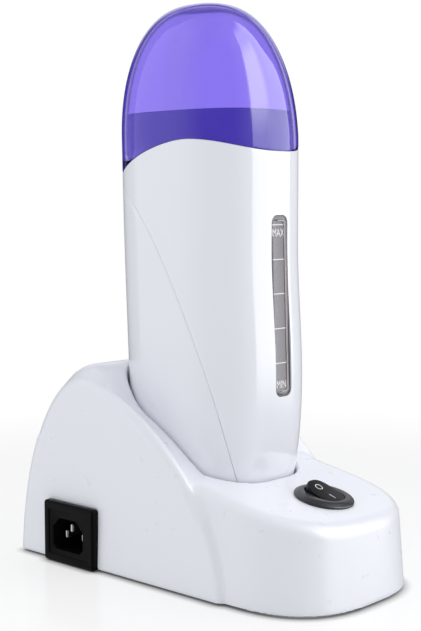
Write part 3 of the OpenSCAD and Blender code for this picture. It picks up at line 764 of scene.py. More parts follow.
FOOT_RUBBER = MouldedPlastic(
    "foot rubber", (0.035, 0.035, 0.037), roughness=0.75, uneven=0.1, relief=0.01, grain=1.0, mottle=0.25,
)
CERAMIC = MouldedPlastic(
    "unglazed ceramic", (0.66, 0.61, 0.50), roughness=0.65, uneven=0.1, relief=0.008, grain=1.0, mottle=0.1,
)
BROWN_LEAD = MouldedPlastic("brown insulation", (0.14, 0.05, 0.025), roughness=0.4, mottle=0.1)
BLUE_LEAD = MouldedPlastic("blue insulation", (0.02, 0.09, 0.40), roughness=0.4, mottle=0.1)
WHITE_LEAD = MouldedPlastic("white sleeving", (0.72, 0.71, 0.67), roughness=0.6, grain=1.0, mottle=0.08)
INK = MouldedPlastic("white ink", (0.85, 0.84, 0.84), roughness=0.45, grain=0.8, mottle=0.05)
DRAWN_ALUMINIUM = Metal("drawn aluminium", (0.80, 0.81, 0.83), roughness=0.28)
ZINC_STEEL = Metal("zinc plated steel", (0.62, 0.63, 0.66), roughness=0.3, lines=(1, 1, 1))
BRIGHT_BRASS = Metal("bright brass", (0.86, 0.66, 0.30), roughness=0.2, lines=(1, 1, 0.2))
NICKEL = Metal("nickel plate", (0.80, 0.79, 0.78), roughness=0.22, lines=(0.2, 1, 1))


@cache
def material(finish: Finish) -> bpy.types.Material:
    """The material of a finish, made once."""
    return finish.make()


@cache
def soft_shading() -> bpy.types.NodeTree:
    """Geometry nodes that shade a CAD node smooth up to a crease angle and leave its mesh alone.

    Returns:
        The node group.
    """
    tree = bpy.data.node_groups.new("soft shading", "GeometryNodeTree")
    tree.interface.new_socket(name="Geometry", in_out="INPUT", socket_type="NodeSocketGeometry")
    tree.interface.new_socket(name="Geometry", in_out="OUTPUT", socket_type="NodeSocketGeometry")
    entry, leave = tree.nodes.new("NodeGroupInput"), tree.nodes.new("NodeGroupOutput")
    merge = tree.nodes.new("GeometryNodeMergeByDistance")
    merge.inputs["Distance"].default_value = 0.002 * MM
    plain = tree.nodes.new("GeometryNodeRemoveAttribute")
    plain.inputs["Name"].default_value = "custom_normal"
    faces = tree.nodes.new("GeometryNodeSetShadeSmooth")
    edges = tree.nodes.new("GeometryNodeSetShadeSmooth")
    edges.domain = "EDGE"
    edges.inputs["Shade Smooth"].default_value = False
    angle = tree.nodes.new("GeometryNodeInputMeshEdgeAngle")
    compare = tree.nodes.new("FunctionNodeCompare")
    compare.inputs[1].default_value = math.radians(32)
    links = tree.links
    links.new(entry.outputs[0], plain.inputs["Geometry"])
    links.new(plain.outputs["Geometry"], merge.inputs["Geometry"])
    links.new(merge.outputs["Geometry"], faces.inputs["Geometry"])
    links.new(faces.outputs["Geometry"], edges.inputs["Geometry"])
    links.new(angle.outputs["Unsigned Angle"], compare.inputs[0])
    links.new(compare.outputs["Result"], edges.inputs["Selection"])
    links.new(edges.outputs["Geometry"], leave.inputs[0])
    return tree


def dress_node(node: str, finish: Finish) -> None:
    """Give a CAD node a finish and smooth shading, and leave its shape as it is.

    Args:
        node: Name of the CAD node.
        finish: Its finish.
    """
    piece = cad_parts[node]
    for slot in piece.material_slots:
        slot.material = material(finish)
    step = piece.modifiers.new("soft shading", "NODES")
    step.node_group = soft_shading()
    LOG.info("node %s: %s", node, finish.name)


def hand_in(piece: bpy.types.Object, finish: Finish, body: Body, slot: str, *nodes: str) -> None:
    """Give a new piece its finish, its body and the CAD nodes that it stands for.

    Args:
        piece: The piece.
        finish: Its finish.
        body: The body that it rides on.
        slot: The record's material slot; it is not used.
        nodes: CAD nodes that it replaces.
    """
    piece.data.materials.clear()
    piece.data.materials.append(material(finish))
    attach(piece, body.value)
    if nodes:
        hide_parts(*nodes)
    LOG.info("piece %s: %s, %d faces", piece.name, finish.name, len(piece.data.polygons))


# ------------------------------------------------------------------ hand unit


@dataclass(frozen=True)
class UnitForm:
    """Outer form of the hand unit and its cap, in millimetres.

    The four main sizes are read from the frame, and the rest are the form's own tapers and curves.
    """

    width: float
    underside: float
    neck: float
    top: float
    depth: float = 73.9
    middle: float = 5.85
    belly: float = 2.5
    belly_up: float = 52.0
    belly_fade: float = 55.0
    foot_taper: float = 6.9
    back_taper: float = 6.3
    side_taper: float = 1.2
    side_up: float = 34.0
    lean: float = 0.05
    squareness: float = 2.8
    wave_middle: float = -5.0
    wave_front: float = 4.5
    wave_back: float = 16.0
    seam_up: float = 84.5
    seam_slope: float = 2.08
    seam_bend: float = 0.0245
    seam_low: float = 6.0
    seam_band: float = 2.4
    cap_gap: float = 0.4
    columns: int = 168

    @classmethod
    def from_frame(cls) -> "UnitForm":
        """Read the main sizes from the CAD shells and the cap.

        Returns:
            The form.
        """
        front, rear, cap = (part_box(node) for node in ("front_shell", "rear_shell", "cap"))
        return cls(
            width=2 * front[1].x / MM, underside=rear[0].z / MM, neck=front[1].z / MM, top=cap[1].z / MM,
        )

    @property
    def cap_start(self) -> float:
        """Height where the cap's dome starts."""
        return self.neck + self.cap_gap

    def front(self, z: float) -> float:
        """Place of the front at a height.

        Args:
            z: The height.

        Returns:
            Its place along Y.
        """
        edge = self.middle - self.depth / 2
        above = z - self.underside - self.belly_up
        if above > 0:
            return edge - self.belly * cos_deg(90 * min(1.0, above / self.belly_fade)) ** 2
        return edge - self.belly + self.foot_taper * (above / self.belly_up) ** 2

    def back(self, z: float) -> float:
        """Place of the back at a height."""
        below = max(0.0, self.neck - z) / (self.neck - self.underside)
        return self.middle + self.depth / 2 - self.back_taper * below**1.25

    def half(self, z: float) -> float:
        """Half the width at a height."""
        below = max(0.0, self.underside + self.side_up - z) / self.side_up
        return self.width / 2 - self.side_taper * below**2

    def mid(self, z: float) -> float:
        """Middle of the section at a height."""
        return (self.front(z) + self.back(z)) / 2 + self.lean * max(0.0, z - self.cap_start)

    def section(self, z: float, angle: float, inset: float = 0.0, squareness: float | None = None) -> Vector:
        """Point of the section at a height, from the front toward +X.

        Args:
            z: The height.
            angle: Direction round the section in degrees.
            inset: How far it lies inside the outer form.
            squareness: Power of the section's curve, if not the form's own.

        Returns:
            The point.
        """
        n = 2 / (squareness or self.squareness)
        a = self.half(z) - inset
        b = (self.back(z) - self.front(z)) / 2 - inset
        return Vector((a * power(sin_deg(angle), n), self.mid(z) - b * power(cos_deg(angle), n), z))

    def wave(self, y: float) -> float:
        """Height of the neck's edge, which dips to the front and more to the back.

        Args:
            y: Place along Y.

        Returns:
            The height.
        """
        edge = self.middle - self.depth / 2
        if y < self.wave_middle:
            return self.neck - self.wave_front * ((self.wave_middle - y) / (self.wave_middle - edge)) ** 2
        reach = self.middle + self.depth / 2 - self.wave_middle
        return self.neck - self.wave_back * ((y - self.wave_middle) / reach) ** 1.7

    def seam(self, y: float) -> float:
        """Height of the seam between the casings, which climbs from the foot to the back of the neck."""
        rise = self.underside + self.seam_up + self.seam_slope * y - self.seam_bend * y * y
        return max(self.underside + self.seam_low, min(rise, self.wave(y) - self.seam_band))

    def line(self, height: Callable[[float], float]) -> list[float]:
        """Heights round the unit of a line that is set by its distance from the middle."""
        return [height(self.section(self.neck, a).y) for a in turns(self.columns)]

    def level(self, z: float) -> list[float]:
        """Heights round the unit of a level line."""
        return [z] * self.columns

    def ring(self, heights: Sequence[float], inset: float = 0.0) -> Ring:
        """Ring round the unit at a line of heights."""
        return [self.section(z, a, inset) for z, a in zip(heights, turns(self.columns))]

    def between(self, low: Sequence[float], high: Sequence[float], lift: float, inset: float = 0.0) -> Ring:
        """Ring between two lines: lift 0 lies on the lower one and lift 1 on the upper one."""
        return self.ring([a + (b - a) * lift for a, b in zip(low, high)], inset)

    def dome(self, angle: float, inset: float = 0.0) -> Ring:
        """Ring of the cap's dome, from its foot at 0 degrees to its tip at 90.

        Args:
            angle: Place on the dome in degrees.
            inset: How far it lies inside the outer form.

        Returns:
            The ring.
        """
        up = sin_deg(angle) ** (2 / 2.1)
        z = self.cap_start + (self.top - self.cap_start - inset) * up
        size = cos_deg(angle) ** (2 / self.squareness)
        foot = self.mid(self.cap_start)
        points = [
            self.section(self.cap_start, a, inset, self.squareness - 0.6 * up * up)
            for a in turns(self.columns)
        ]
        return [Vector((p.x * size, self.mid(z) + (p.y - foot) * size, z)) for p in points]


def raised(line: Sequence[float], by: float) -> list[float]:
    """A line of heights, lifted by a distance."""
    return [z + by for z in line]


@dataclass
class HandUnit:
    """Casings and collar of the hand unit. Sizes are in millimetres."""

    form: UnitForm
    wall: float = 2.2
    lip: float = 0.3
    seam_lips: tuple[float, float] = (0.08, 0.9)
    joint: float = 0.01
    floor: float = 2.4
    foot_radius: float = 3.0
    foot_squash: float = 0.8
    slot: tuple[float, float] = (23.6, 9.6)
    slot_at: float = 4.5
    cap_wall: float = 1.5
    cap_edge: float = 0.12
    cap_rim_gap: float = 0.15
    collar_wall: float = 2.0
    collar_gap: float = 0.15
    collar_drop: float = 22.0
    collar_round: float = 0.8
    plate: float = 3.0
    post_x: float = 13.6
    post_up: float = 14.5
    post_width: float = 6.4
    post_split: float = -16.0
    screw_width: float = 2.5
    window: tuple[float, float, float] = (9.6, 70.0, 3.0)
    window_up: float = 47.0

    @property
    def window_middle(self) -> float:
        """Height of the window's middle."""
        return self.form.underside + self.window_up + self.window[1] / 2

    @property
    def window_place(self) -> Matrix:
        """Plane of the window: X across it, Y up it and Z out of it, in metres.

        Returns:
            The plane's matrix.
        """
        half = self.window[1] / 2
        lean = self.form.front(self.window_middle + half) - self.form.front(self.window_middle - half)
        tilt = math.atan(lean / self.window[1])
        spot = Vector((0, self.form.front(self.window_middle), self.window_middle)) * MM
        return Matrix.Translation(spot) @ Matrix.Rotation(math.pi / 2 - tilt, 4, "X")

    def lip_rings(self, line: Sequence[float], way: int, radius: float) -> list[Ring]:
        """Rounded lip of a casing, from its edge to its outer face.

        Args:
            line: Heights of the edge.
            way: 1 if the casing lies above its edge, and -1 if it lies below.
            radius: Radius of the lip.

        Returns:
            Rings from the edge outwards.
        """
        return [
            self.form.ring(raised(line, way * radius * (1 - cos_deg(a))), radius * (1 - sin_deg(a)))
            for a in (0, 22, 45, 68, 90)
        ]

    def posts(self, start: float, end: float, width: float) -> list[bmesh.types.BMesh]:
        """The two screw posts, or their bores, from one depth to another.

        Args:
            start: Place along Y where they start.
            end: Place along Y where they end.
            width: Their diameter.

        Returns:
            The two rods, in metres.
        """
        rods = []
        for side in (-1, 1):
            bm = rod(width / 2, 0, end - start, 40)
            spot = Vector((side * self.post_x, start, self.form.underside + self.post_up)) * MM
            turn = Matrix.Rotation(-math.pi / 2, 4, "X")
            bmesh.ops.transform(bm, matrix=Matrix.Translation(spot) @ turn, verts=bm.verts)
            rods.append(bm)
        return rods

    def front_casing(self) -> bpy.types.Object:
        """Front casing, from the seam up to the neck's edge, with the window cut in it.

        Returns:
            The piece.
        """
        form = self.form
        low = raised(form.line(form.seam), self.joint)
        high = form.line(form.wave)
        rise = (raised(low, self.seam_lips[0]), raised(high, -self.lip))
        rings = self.lip_rings(low, 1, self.seam_lips[0])
        rings += [form.between(*rise, lift) for lift in steps(0.03, 0.97, 30)]
        rings += list(reversed(self.lip_rings(high, -1, self.lip)))
        rings += [form.ring(high, self.wall)]
        rings += [form.between(low, high, lift, self.wall) for lift in steps(0.93, 0.0, 12)]
        piece = solid("front_casing", loft(rings, Ends.TUBE))
        width, length, radius = self.window
        hole = plate(round_box(width, length, radius), -6.0, 4.0)
        bmesh.ops.transform(hole, matrix=self.window_place, verts=hole.verts)
        work(piece, Cut.REMOVE, hole)
        shade(piece, 32)
        hand_in(piece, GLOSS_WHITE, Body.HAND_UNIT, "white_shell", "front_shell")
        return piece

    def rear_casing(self) -> bpy.types.Object:
        """Rear casing, from the underside up to the seam, with its screw posts and the contacts' slot.

        Returns:
            The piece.
        """
        form = self.form
        base = form.underside
        high = raised(form.line(form.seam), -self.joint)
        radius = self.foot_radius
        foot = [
            (radius * (1 - sin_deg(a)), radius * (1 - cos_deg(a)) * self.foot_squash)
            for a in steps(0, 90, 9)
        ]
        rings = [form.ring(form.level(base + up), inset) for inset, up in foot]
        rise = (form.level(base + radius), raised(high, -self.seam_lips[1]))
        rings += [form.between(*rise, lift) for lift in steps(0.03, 0.97, 30)]
        rings += list(reversed(self.lip_rings(high, -1, self.seam_lips[1])))
        rings += [form.ring(high, self.wall)]
        inner = form.level(base + self.floor)
        rings += [form.between(inner, high, lift, self.wall) for lift in steps(0.93, 0.0, 12)]
        piece = solid("rear_casing", loft(rings))
        back = form.back(base + self.post_up) - self.wall / 2
        head = 2 * self.screw_width
        slot = plate(slot_outline(*self.slot), base - 2, base + self.floor + 2)
        bmesh.ops.translate(slot, verts=slot.verts, vec=(0, self.slot_at * MM, 0))
        work(piece, Cut.ADD, *self.posts(self.post_split + 0.1, back, self.post_width))
        work(
            piece, Cut.REMOVE, slot,
            *self.posts(self.post_split - 1, self.post_split + 4, self.screw_width + 0.6),
            *self.posts(self.post_split + 3, back + 6, head + 0.3),
        )
        shade(piece, 32)
        hand_in(piece, GLOSS_WHITE, Body.HAND_UNIT, "white_shell", "rear_shell")
        return piece

    def collar(self, chamber: "Chamber") -> bpy.types.Object:
        """Violet collar that the cap sits round, with the chamber's opening in its top.

        Args:
            chamber: The chamber under its opening.

        Returns:
            The piece.
        """
        form = self.form
        inset = self.wall + self.collar_gap
        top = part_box("collar")[1].z / MM
        foot = form.neck - self.collar_drop
        radius = self.collar_round
        rings = [form.ring(form.level(z), inset) for z in steps(foot, top - radius, 8)]
        rings += [
            form.ring(form.level(top - radius * (1 - sin_deg(a))), inset + radius * (1 - cos_deg(a)))
            for a in (20, 40, 60, 80, 90)
        ]
        hollow = [form.ring(form.level(z), inset + self.collar_wall) for z in (foot - 1, top - self.plate)]
        opening = plate(round_box(*chamber.inside), top - 16, top + 1)
        bmesh.ops.translate(opening, verts=opening.verts, vec=(0, chamber.middle * MM, 0))
        piece = solid("collar_band", loft(rings))
        work(piece, Cut.REMOVE, loft(hollow), opening)
        shade(piece, 32)
        hand_in(piece, COLLAR_VIOLET, Body.HAND_UNIT, "collar_violet", "collar")
        return piece

    def cap(self) -> bpy.types.Object:
        """Clear cap with a thin wall, whose lower edge follows the neck's edge.

        Returns:
            The piece.
        """
        form = self.form
        wall = self.cap_wall
        edge = raised(form.line(form.wave), self.cap_rim_gap)
        start = form.level(form.cap_start + 2)
        angles = steps(4, 88, 36)
        rings = [form.dome(a, wall) for a in reversed(angles)]
        rings += [form.between(edge, start, lift, wall) for lift in steps(1.0, 0.12, 4)]
        rings += [form.ring(edge, wall - self.cap_edge), form.ring(edge, self.cap_edge)]
        rings += [form.between(edge, start, lift) for lift in steps(0.12, 1.0, 4)]
        rings += [form.dome(a) for a in angles]
        piece = solid("clear_cap", loft(rings))
        hand_in(piece, CAP_VIOLET, Body.CAP, "cap_violet", "cap")
        return piece


@dataclass(frozen=True)
class Chamber:
    """Heater chamber, as its CAD node has it. Sizes are in millimetres."""

    inside: tuple[float, float, float] = (33.6, 45.6, 10.8)

    @property
    def middle(self) -> float:
        """Distance of the chamber's middle toward the back."""
        low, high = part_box("heater_chamber")
        return (low.y + high.y) / 2 / MM


@dataclass
class LevelWindow:
    """Smoke lens behind the window, with its printed level scale. Sizes are in millimetres."""

    unit: HandUnit
    sunk: float = 0.35
    rim: float = 1.6
    thickness: float = 1.2
    seat: float = 2.8
    panel: tuple[float, float, float] = (7.2, 66.2, 1.5)
    panel_shift: float = -0.4
    panel_depth: float = 0.3
    marks: tuple[float, ...] = (139.3, 126.0, 112.8, 99.4, 86.0, 74.7)
    stroke: float = 0.34
    ink: float = 0.05
    # Widths of the dark band of painted shade at the lens's edge and of the pale step line of painted
    # highlight.
    painted_shade_band: float = 0.6
    painted_highlight_band: float = 0.3
    fit: float = 0.3
    rounding: float = 0.16
    bar_short: float = 0.3
    text_size: float = 4.2
    text_narrow: float = 0.8
    word_shift: tuple[float, float] = (-3.2, 2.9)

    def face(self, low: float, high: float) -> bmesh.types.BMesh:
        """Raise the lens's outline, which fits the window with a little play.

        Args:
            low: Height of the plate's underside in the window's plane.
            high: Height of its top.

        Returns:
            The closed plate, in metres.
        """
        width, length, radius = self.unit.window
        outline = round_box(width - self.fit, length - self.fit, radius - self.fit / 2)
        return plate(outline, low, high)

    def lens(self) -> bpy.types.Object:
        """Lens with a sunk panel and a rim behind the casing's wall.

        Returns:
            The piece.
        """
        width, length, radius = self.unit.window
        place = self.unit.window_place
        face = self.face(-self.seat - self.fit / 2, -self.sunk)
        grown = 2 * self.rim
        rim = plate(
            round_box(width + grown, length + grown, radius + self.rim),
            -self.seat - self.thickness, -self.seat,
        )
        panel = plate(round_box(*self.panel), -self.sunk - self.panel_depth, 1.0)
        bmesh.ops.translate(panel, verts=panel.verts, vec=(self.panel_shift * MM, 0, 0))
        piece = solid("level_lens", face)
        work(piece, Cut.ADD, rim)
        work(piece, Cut.REMOVE, panel)
        soften(piece, self.rounding, 3)
        piece.data.transform(place)
        hand_in(piece, LENS_SMOKE, Body.HAND_UNIT, "lens_smoke", "window_lens")
        return piece

    def bands(self) -> None:
        """Painted shade as a dark band along the lens's edge, and a painted highlight as a pale step round
        the panel, open toward -X.
        """
        width, length, radius = self.unit.window
        grown = -2 * self.painted_shade_band
        # Painted shade: a dark band along the lens's edge.
        edge = solid("level_rim_painted_shade", self.face(-1.0, 0.05))
        middle = round_box(width + grown, length + grown, radius - self.painted_shade_band)
        work(edge, Cut.REMOVE, plate(middle, -2.0, 1.0))
        across, along, corner = self.panel
        inset = 2 * self.painted_highlight_band
        step = plate(round_box(across, along, corner), -1.0, 0.08)
        inner = plate(round_box(across - inset, along - inset, corner - self.painted_highlight_band), -2.0, 1.0)
        half = plate(round_box(across, along + 2, 0.1, 3), -2.0, 1.0)
        bmesh.ops.translate(half, verts=half.verts, vec=(-across * 0.55 * MM, 0, 0))
        # Painted highlight: the pale step line, with its -X side cut away.
        pale = solid("level_step_painted_highlight", step)
        work(pale, Cut.REMOVE, inner, half)
        place = self.unit.window_place @ Matrix.Translation((0, 0, -self.sunk * MM))
        # The edge band carries painted shade and the step carries a painted highlight.
        for piece, finish, shift in ((edge, LENS_PAINTED_SHADE, 0.0), (pale, LENS_PAINTED_HIGHLIGHT, self.panel_shift)):
            piece.data.transform(place @ Matrix.Translation((shift * MM, 0, 0)))
            shade(piece, 35)
            hand_in(piece, finish, Body.HAND_UNIT, "lens_smoke")

    def letters(self, word: str, up: float) -> bmesh.types.BMesh:
        """A level word as raised ink, centred on the panel.

        Args:
            word: The word.
            up: Height of its middle in the window's plane.

        Returns:
            The letters' mesh, flat on the plane z = 0.
        """
        curve = bpy.data.curves.new(word, "FONT")
        curve.body = word
        curve.size = self.text_size * MM
        curve.align_x = "CENTER"
        curve.align_y = "CENTER"
        curve.extrude = self.ink / 2 * MM
        curve.resolution_u = 3
        holder = bpy.data.objects.new(word, curve)
        bpy.context.scene.collection.objects.link(holder)
        mesh = bpy.data.meshes.new_from_object(holder.evaluated_get(bpy.context.evaluated_depsgraph_get()))
        bm = bmesh.new()
        bm.from_mesh(mesh)
        bmesh.ops.scale(bm, vec=(self.text_narrow, 1, 1), verts=bm.verts)
        bmesh.ops.translate(bm, vec=(self.panel_shift * MM, up * MM, self.ink / 2 * MM), verts=bm.verts)
        bpy.data.objects.remove(holder)
        bpy.data.curves.remove(curve)
        bpy.data.meshes.remove(mesh)
        return bm

    def scale(self) -> bpy.types.Object:
        """Printed level lines with the words at the highest and the lowest.

        Returns:
            The piece.
        """
        lines = [mark - self.unit.window_middle for mark in self.marks]
        reach = self.panel[0] - self.bar_short
        highest, lowest = self.word_shift
        parts = [self.letters("MAX", lines[0] + highest), self.letters("MIN", lines[-1] + lowest)]
        for up in lines:
            bar = plate(round_box(reach, self.stroke, 0.1, 3), 0.0, self.ink)
            bmesh.ops.translate(bar, verts=bar.verts, vec=(self.panel_shift * MM, up * MM, 0))
            parts.append(bar)
        whole = bmesh.new()
        for part in parts:
            mesh = bpy.data.meshes.new("part")
            part.to_mesh(mesh)
            part.free()
            whole.from_mesh(mesh)
            bpy.data.meshes.remove(mesh)
        lift = Matrix.Translation((0, 0, -(self.sunk + self.panel_depth - 0.01) * MM))
        piece = solid("level_scale", whole, self.unit.window_place @ lift)
        hand_in(piece, INK, Body.HAND_UNIT, "lens_smoke")
        return piece


# ------------------------------------------------------------------ dock


@dataclass(frozen=True)
class DockForm:
    """Outer form of the dock, in millimetres: two cheeks with a scooped back, and a nose deck."""

    width: float
    length: float
    unit: UnitForm
    crest: float = 77.5
    crown: float = 82.0
    crown_back: float = 36.25
    cheek: float = 79.3
    crest_radius: float = 3.2
    scoop: float = 5.6
    scoop_reach: tuple[float, float] = (-72.0, -56.0)
    crown_reach: tuple[float, float] = (-25.6, 0.2)
    lean: float = 0.0007
    rear_power: float = 1.95
    front_power: float = 1.51
    up_power: float = 1.78
    deck_step: float = 1.7
    nose: float = 39.5
    deck: float = 36.2
    deck_slope: float = 11.0
    deck_radius: float = 5.0
    deck_draft: float = 3.5
    nose_power: float = 2.75
    switch_nose: float = 24.55
    low: float = 1.0

    @classmethod
    def from_frame(cls, unit: UnitForm) -> "DockForm":
        """Read the dock's length and width from the CAD shell."""
        low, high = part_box("base_shell")
        return cls(width=(high.x - low.x) / MM, length=(high.y - low.y) / MM, unit=unit)

    @property
    def crown_at(self) -> float:
        """Distance of the crown from the middle."""
        return self.length / 2 - self.crown_back

    @property
    def switch_at(self) -> float:
        """Distance of the switch from the middle, toward the front."""
        return self.length / 2 - self.switch_nose

    def edge(self, turn: float, inset: float) -> tuple[float, float]:
        """Point of a cheek's outline, from the back at 90 over the crown at 0 to the front at -90.

        Args:
            turn: Place on the outline in degrees.
            inset: How far it lies inside the outer form.

        Returns:
            Its place along Y and its height.
        """
        if turn > 0:
            reach = self.length / 2 - self.crown_at - inset
            return (
                self.crown_at + reach * sin_deg(turn) ** (2 / self.rear_power),
                (self.crest - inset) * cos_deg(turn) ** (2 / self.rear_power),
            )
        return (
            self.crown_at - (self.cheek - inset) * sin_deg(-turn) ** (2 / self.front_power),
            (self.crest - inset) * cos_deg(turn) ** (2 / self.up_power),
        )

    def swell(self, y: float, z: float) -> float:
        """Height that the middle of the body has above or below the cheeks' outline.

        Args:
            y: Place along Y.
            z: Height of the cheeks' outline there.

        Returns:
            The height that is added.
        """
        def along(reach: tuple[float, float]) -> float:
            """Eased share of the way through a reach that is set from the crown."""
            return ease((y - self.crown_at - reach[0]) / (reach[1] - reach[0]))

        rise = (self.crown - self.crest + self.scoop) * along(self.crown_reach)
        return z / self.crest * (rise - self.scoop * along(self.scoop_reach))

    def inward(self, x: float) -> float:
        """Share of the swell at a distance from the middle plane.

        Args:
            x: Distance from the middle plane, to either side.

        Returns:
            The share, from 0 at a cheek's face to 1 in the middle.
        """
        outer = self.width / 2 - self.crest_radius
        u = min(1.0, max(0.0, (outer - abs(x)) / (outer - self.unit.width / 2 - 2)))
        return 1 - (1 - u) ** 3

    def outline(self, x: float, inset: float, low: float, count: int) -> Ring:
        """Outline of the cheeks' body at a distance from the middle plane.

        Args:
            x: Place along X.
            inset: How far it lies inside the outer form.
            low: Height of its lower end.
            count: Number of steps round it.

        Returns:
            The ring, from the back to the front.
        """
        around = [t for t in steps(90, -90, count)[1:-1] if self.edge(t, 0)[1] > self.low + 1]
        ring = []
        for turn in [90, *around, -90]:
            y, z = self.edge(turn, inset)
            z = max(low, z + self.inward(x) * self.swell(y, z))
            ring.append(Vector((x * (1 - self.lean * z), y, z)))
        return ring

    def body_rings(self, inset: float, low: float, count: int, across: int) -> list[Ring]:
        """Rings of the cheeks' body from one side to the other.

        Args:
            inset: How far they lie inside the outer form.
            low: Height of their lower end.
            count: Number of steps round each.
            across: Number of rings on half the width.

        Returns:
            The rings.
        """
        half = self.width / 2 - inset
        flat = half - self.crest_radius
        right = [(x, inset) for x in steps(0, flat, across)]
        right += [
            (half - self.crest_radius * (1 - sin_deg(a)), inset + self.crest_radius * (1 - cos_deg(a)))
            for a in steps(0, 90, 9)[1:]
        ]
        left = [(-x, d) for x, d in reversed(right[1:])]
        return [self.outline(x, d, low, count) for x, d in left + right]

    def deck_height(self, y: float) -> float:
        """Height of the deck's plane."""
        return self.deck + (y + self.switch_at) * math.tan(math.radians(self.deck_slope))

    def nose_ring(self, inset: float, drop: float, low: float | None, count: int) -> Ring:
        """Plan outline of the deck at a drop below its plane, or at one height.

        Args:
            inset: How far it lies inside the outer form.
            drop: Depth below the deck's plane.
            low: The height, where the ring is level.
            count: Number of steps round the nose.

        Returns:
            The ring.
        """
        a, b = self.width / 2 - self.deck_step - inset, self.nose - inset
        start = self.nose - self.length / 2
        n = 2 / self.nose_power
        plan = [(-a, y) for y in steps(0, start, 12)[:-1]]
        plan += [(a * power(sin_deg(t), n), start - b * cos_deg(t) ** n) for t in steps(-90, 90, count)]
        plan += [(a, y) for y in steps(start, 0, 12)[1:]]
        return [Vector((x, y, self.deck_height(y) - drop if low is None else low)) for x, y in plan]

    def deck_rings(self, inset: float, low: float, count: int, arc: int) -> list[Ring]:
        """Rings of the deck from its foot to its top.

        Args:
            inset: How far they lie inside the outer form.
            low: Height of the foot.
            count: Number of steps round the nose.
            arc: Number of rings on the round edge.

        Returns:
            The rings.
        """
        radius = max(0.6, self.deck_radius - inset)
        lean = (self.deck - self.deck_radius) * math.tan(math.radians(self.deck_draft))
        rings = [self.nose_ring(inset, 0, low, count)]
        rings += [
            self.nose_ring(
                inset + lean + radius * (1 - cos_deg(a)), inset + radius * (1 - sin_deg(a)), None, count
            )
            for a in steps(0, 90, arc)
        ]
        return rings

    def well(self, gap: float, low: float) -> bmesh.types.BMesh:
        """Space for the hand unit, wider than it by a gap.

        Args:
            gap: The gap.
            low: Height of its floor.

        Returns:
            The solid, in metres.
        """
        heights = [low] + steps(self.unit.underside + 2, self.crown + 12, 24)
        rings = []
        for z in heights:
            level = max(z, self.unit.underside)
            points = [self.unit.section(level, a, -gap) for a in turns(self.unit.columns)]
            rings.append([Vector((p.x, p.y, z)) for p in points])
        return loft(rings)


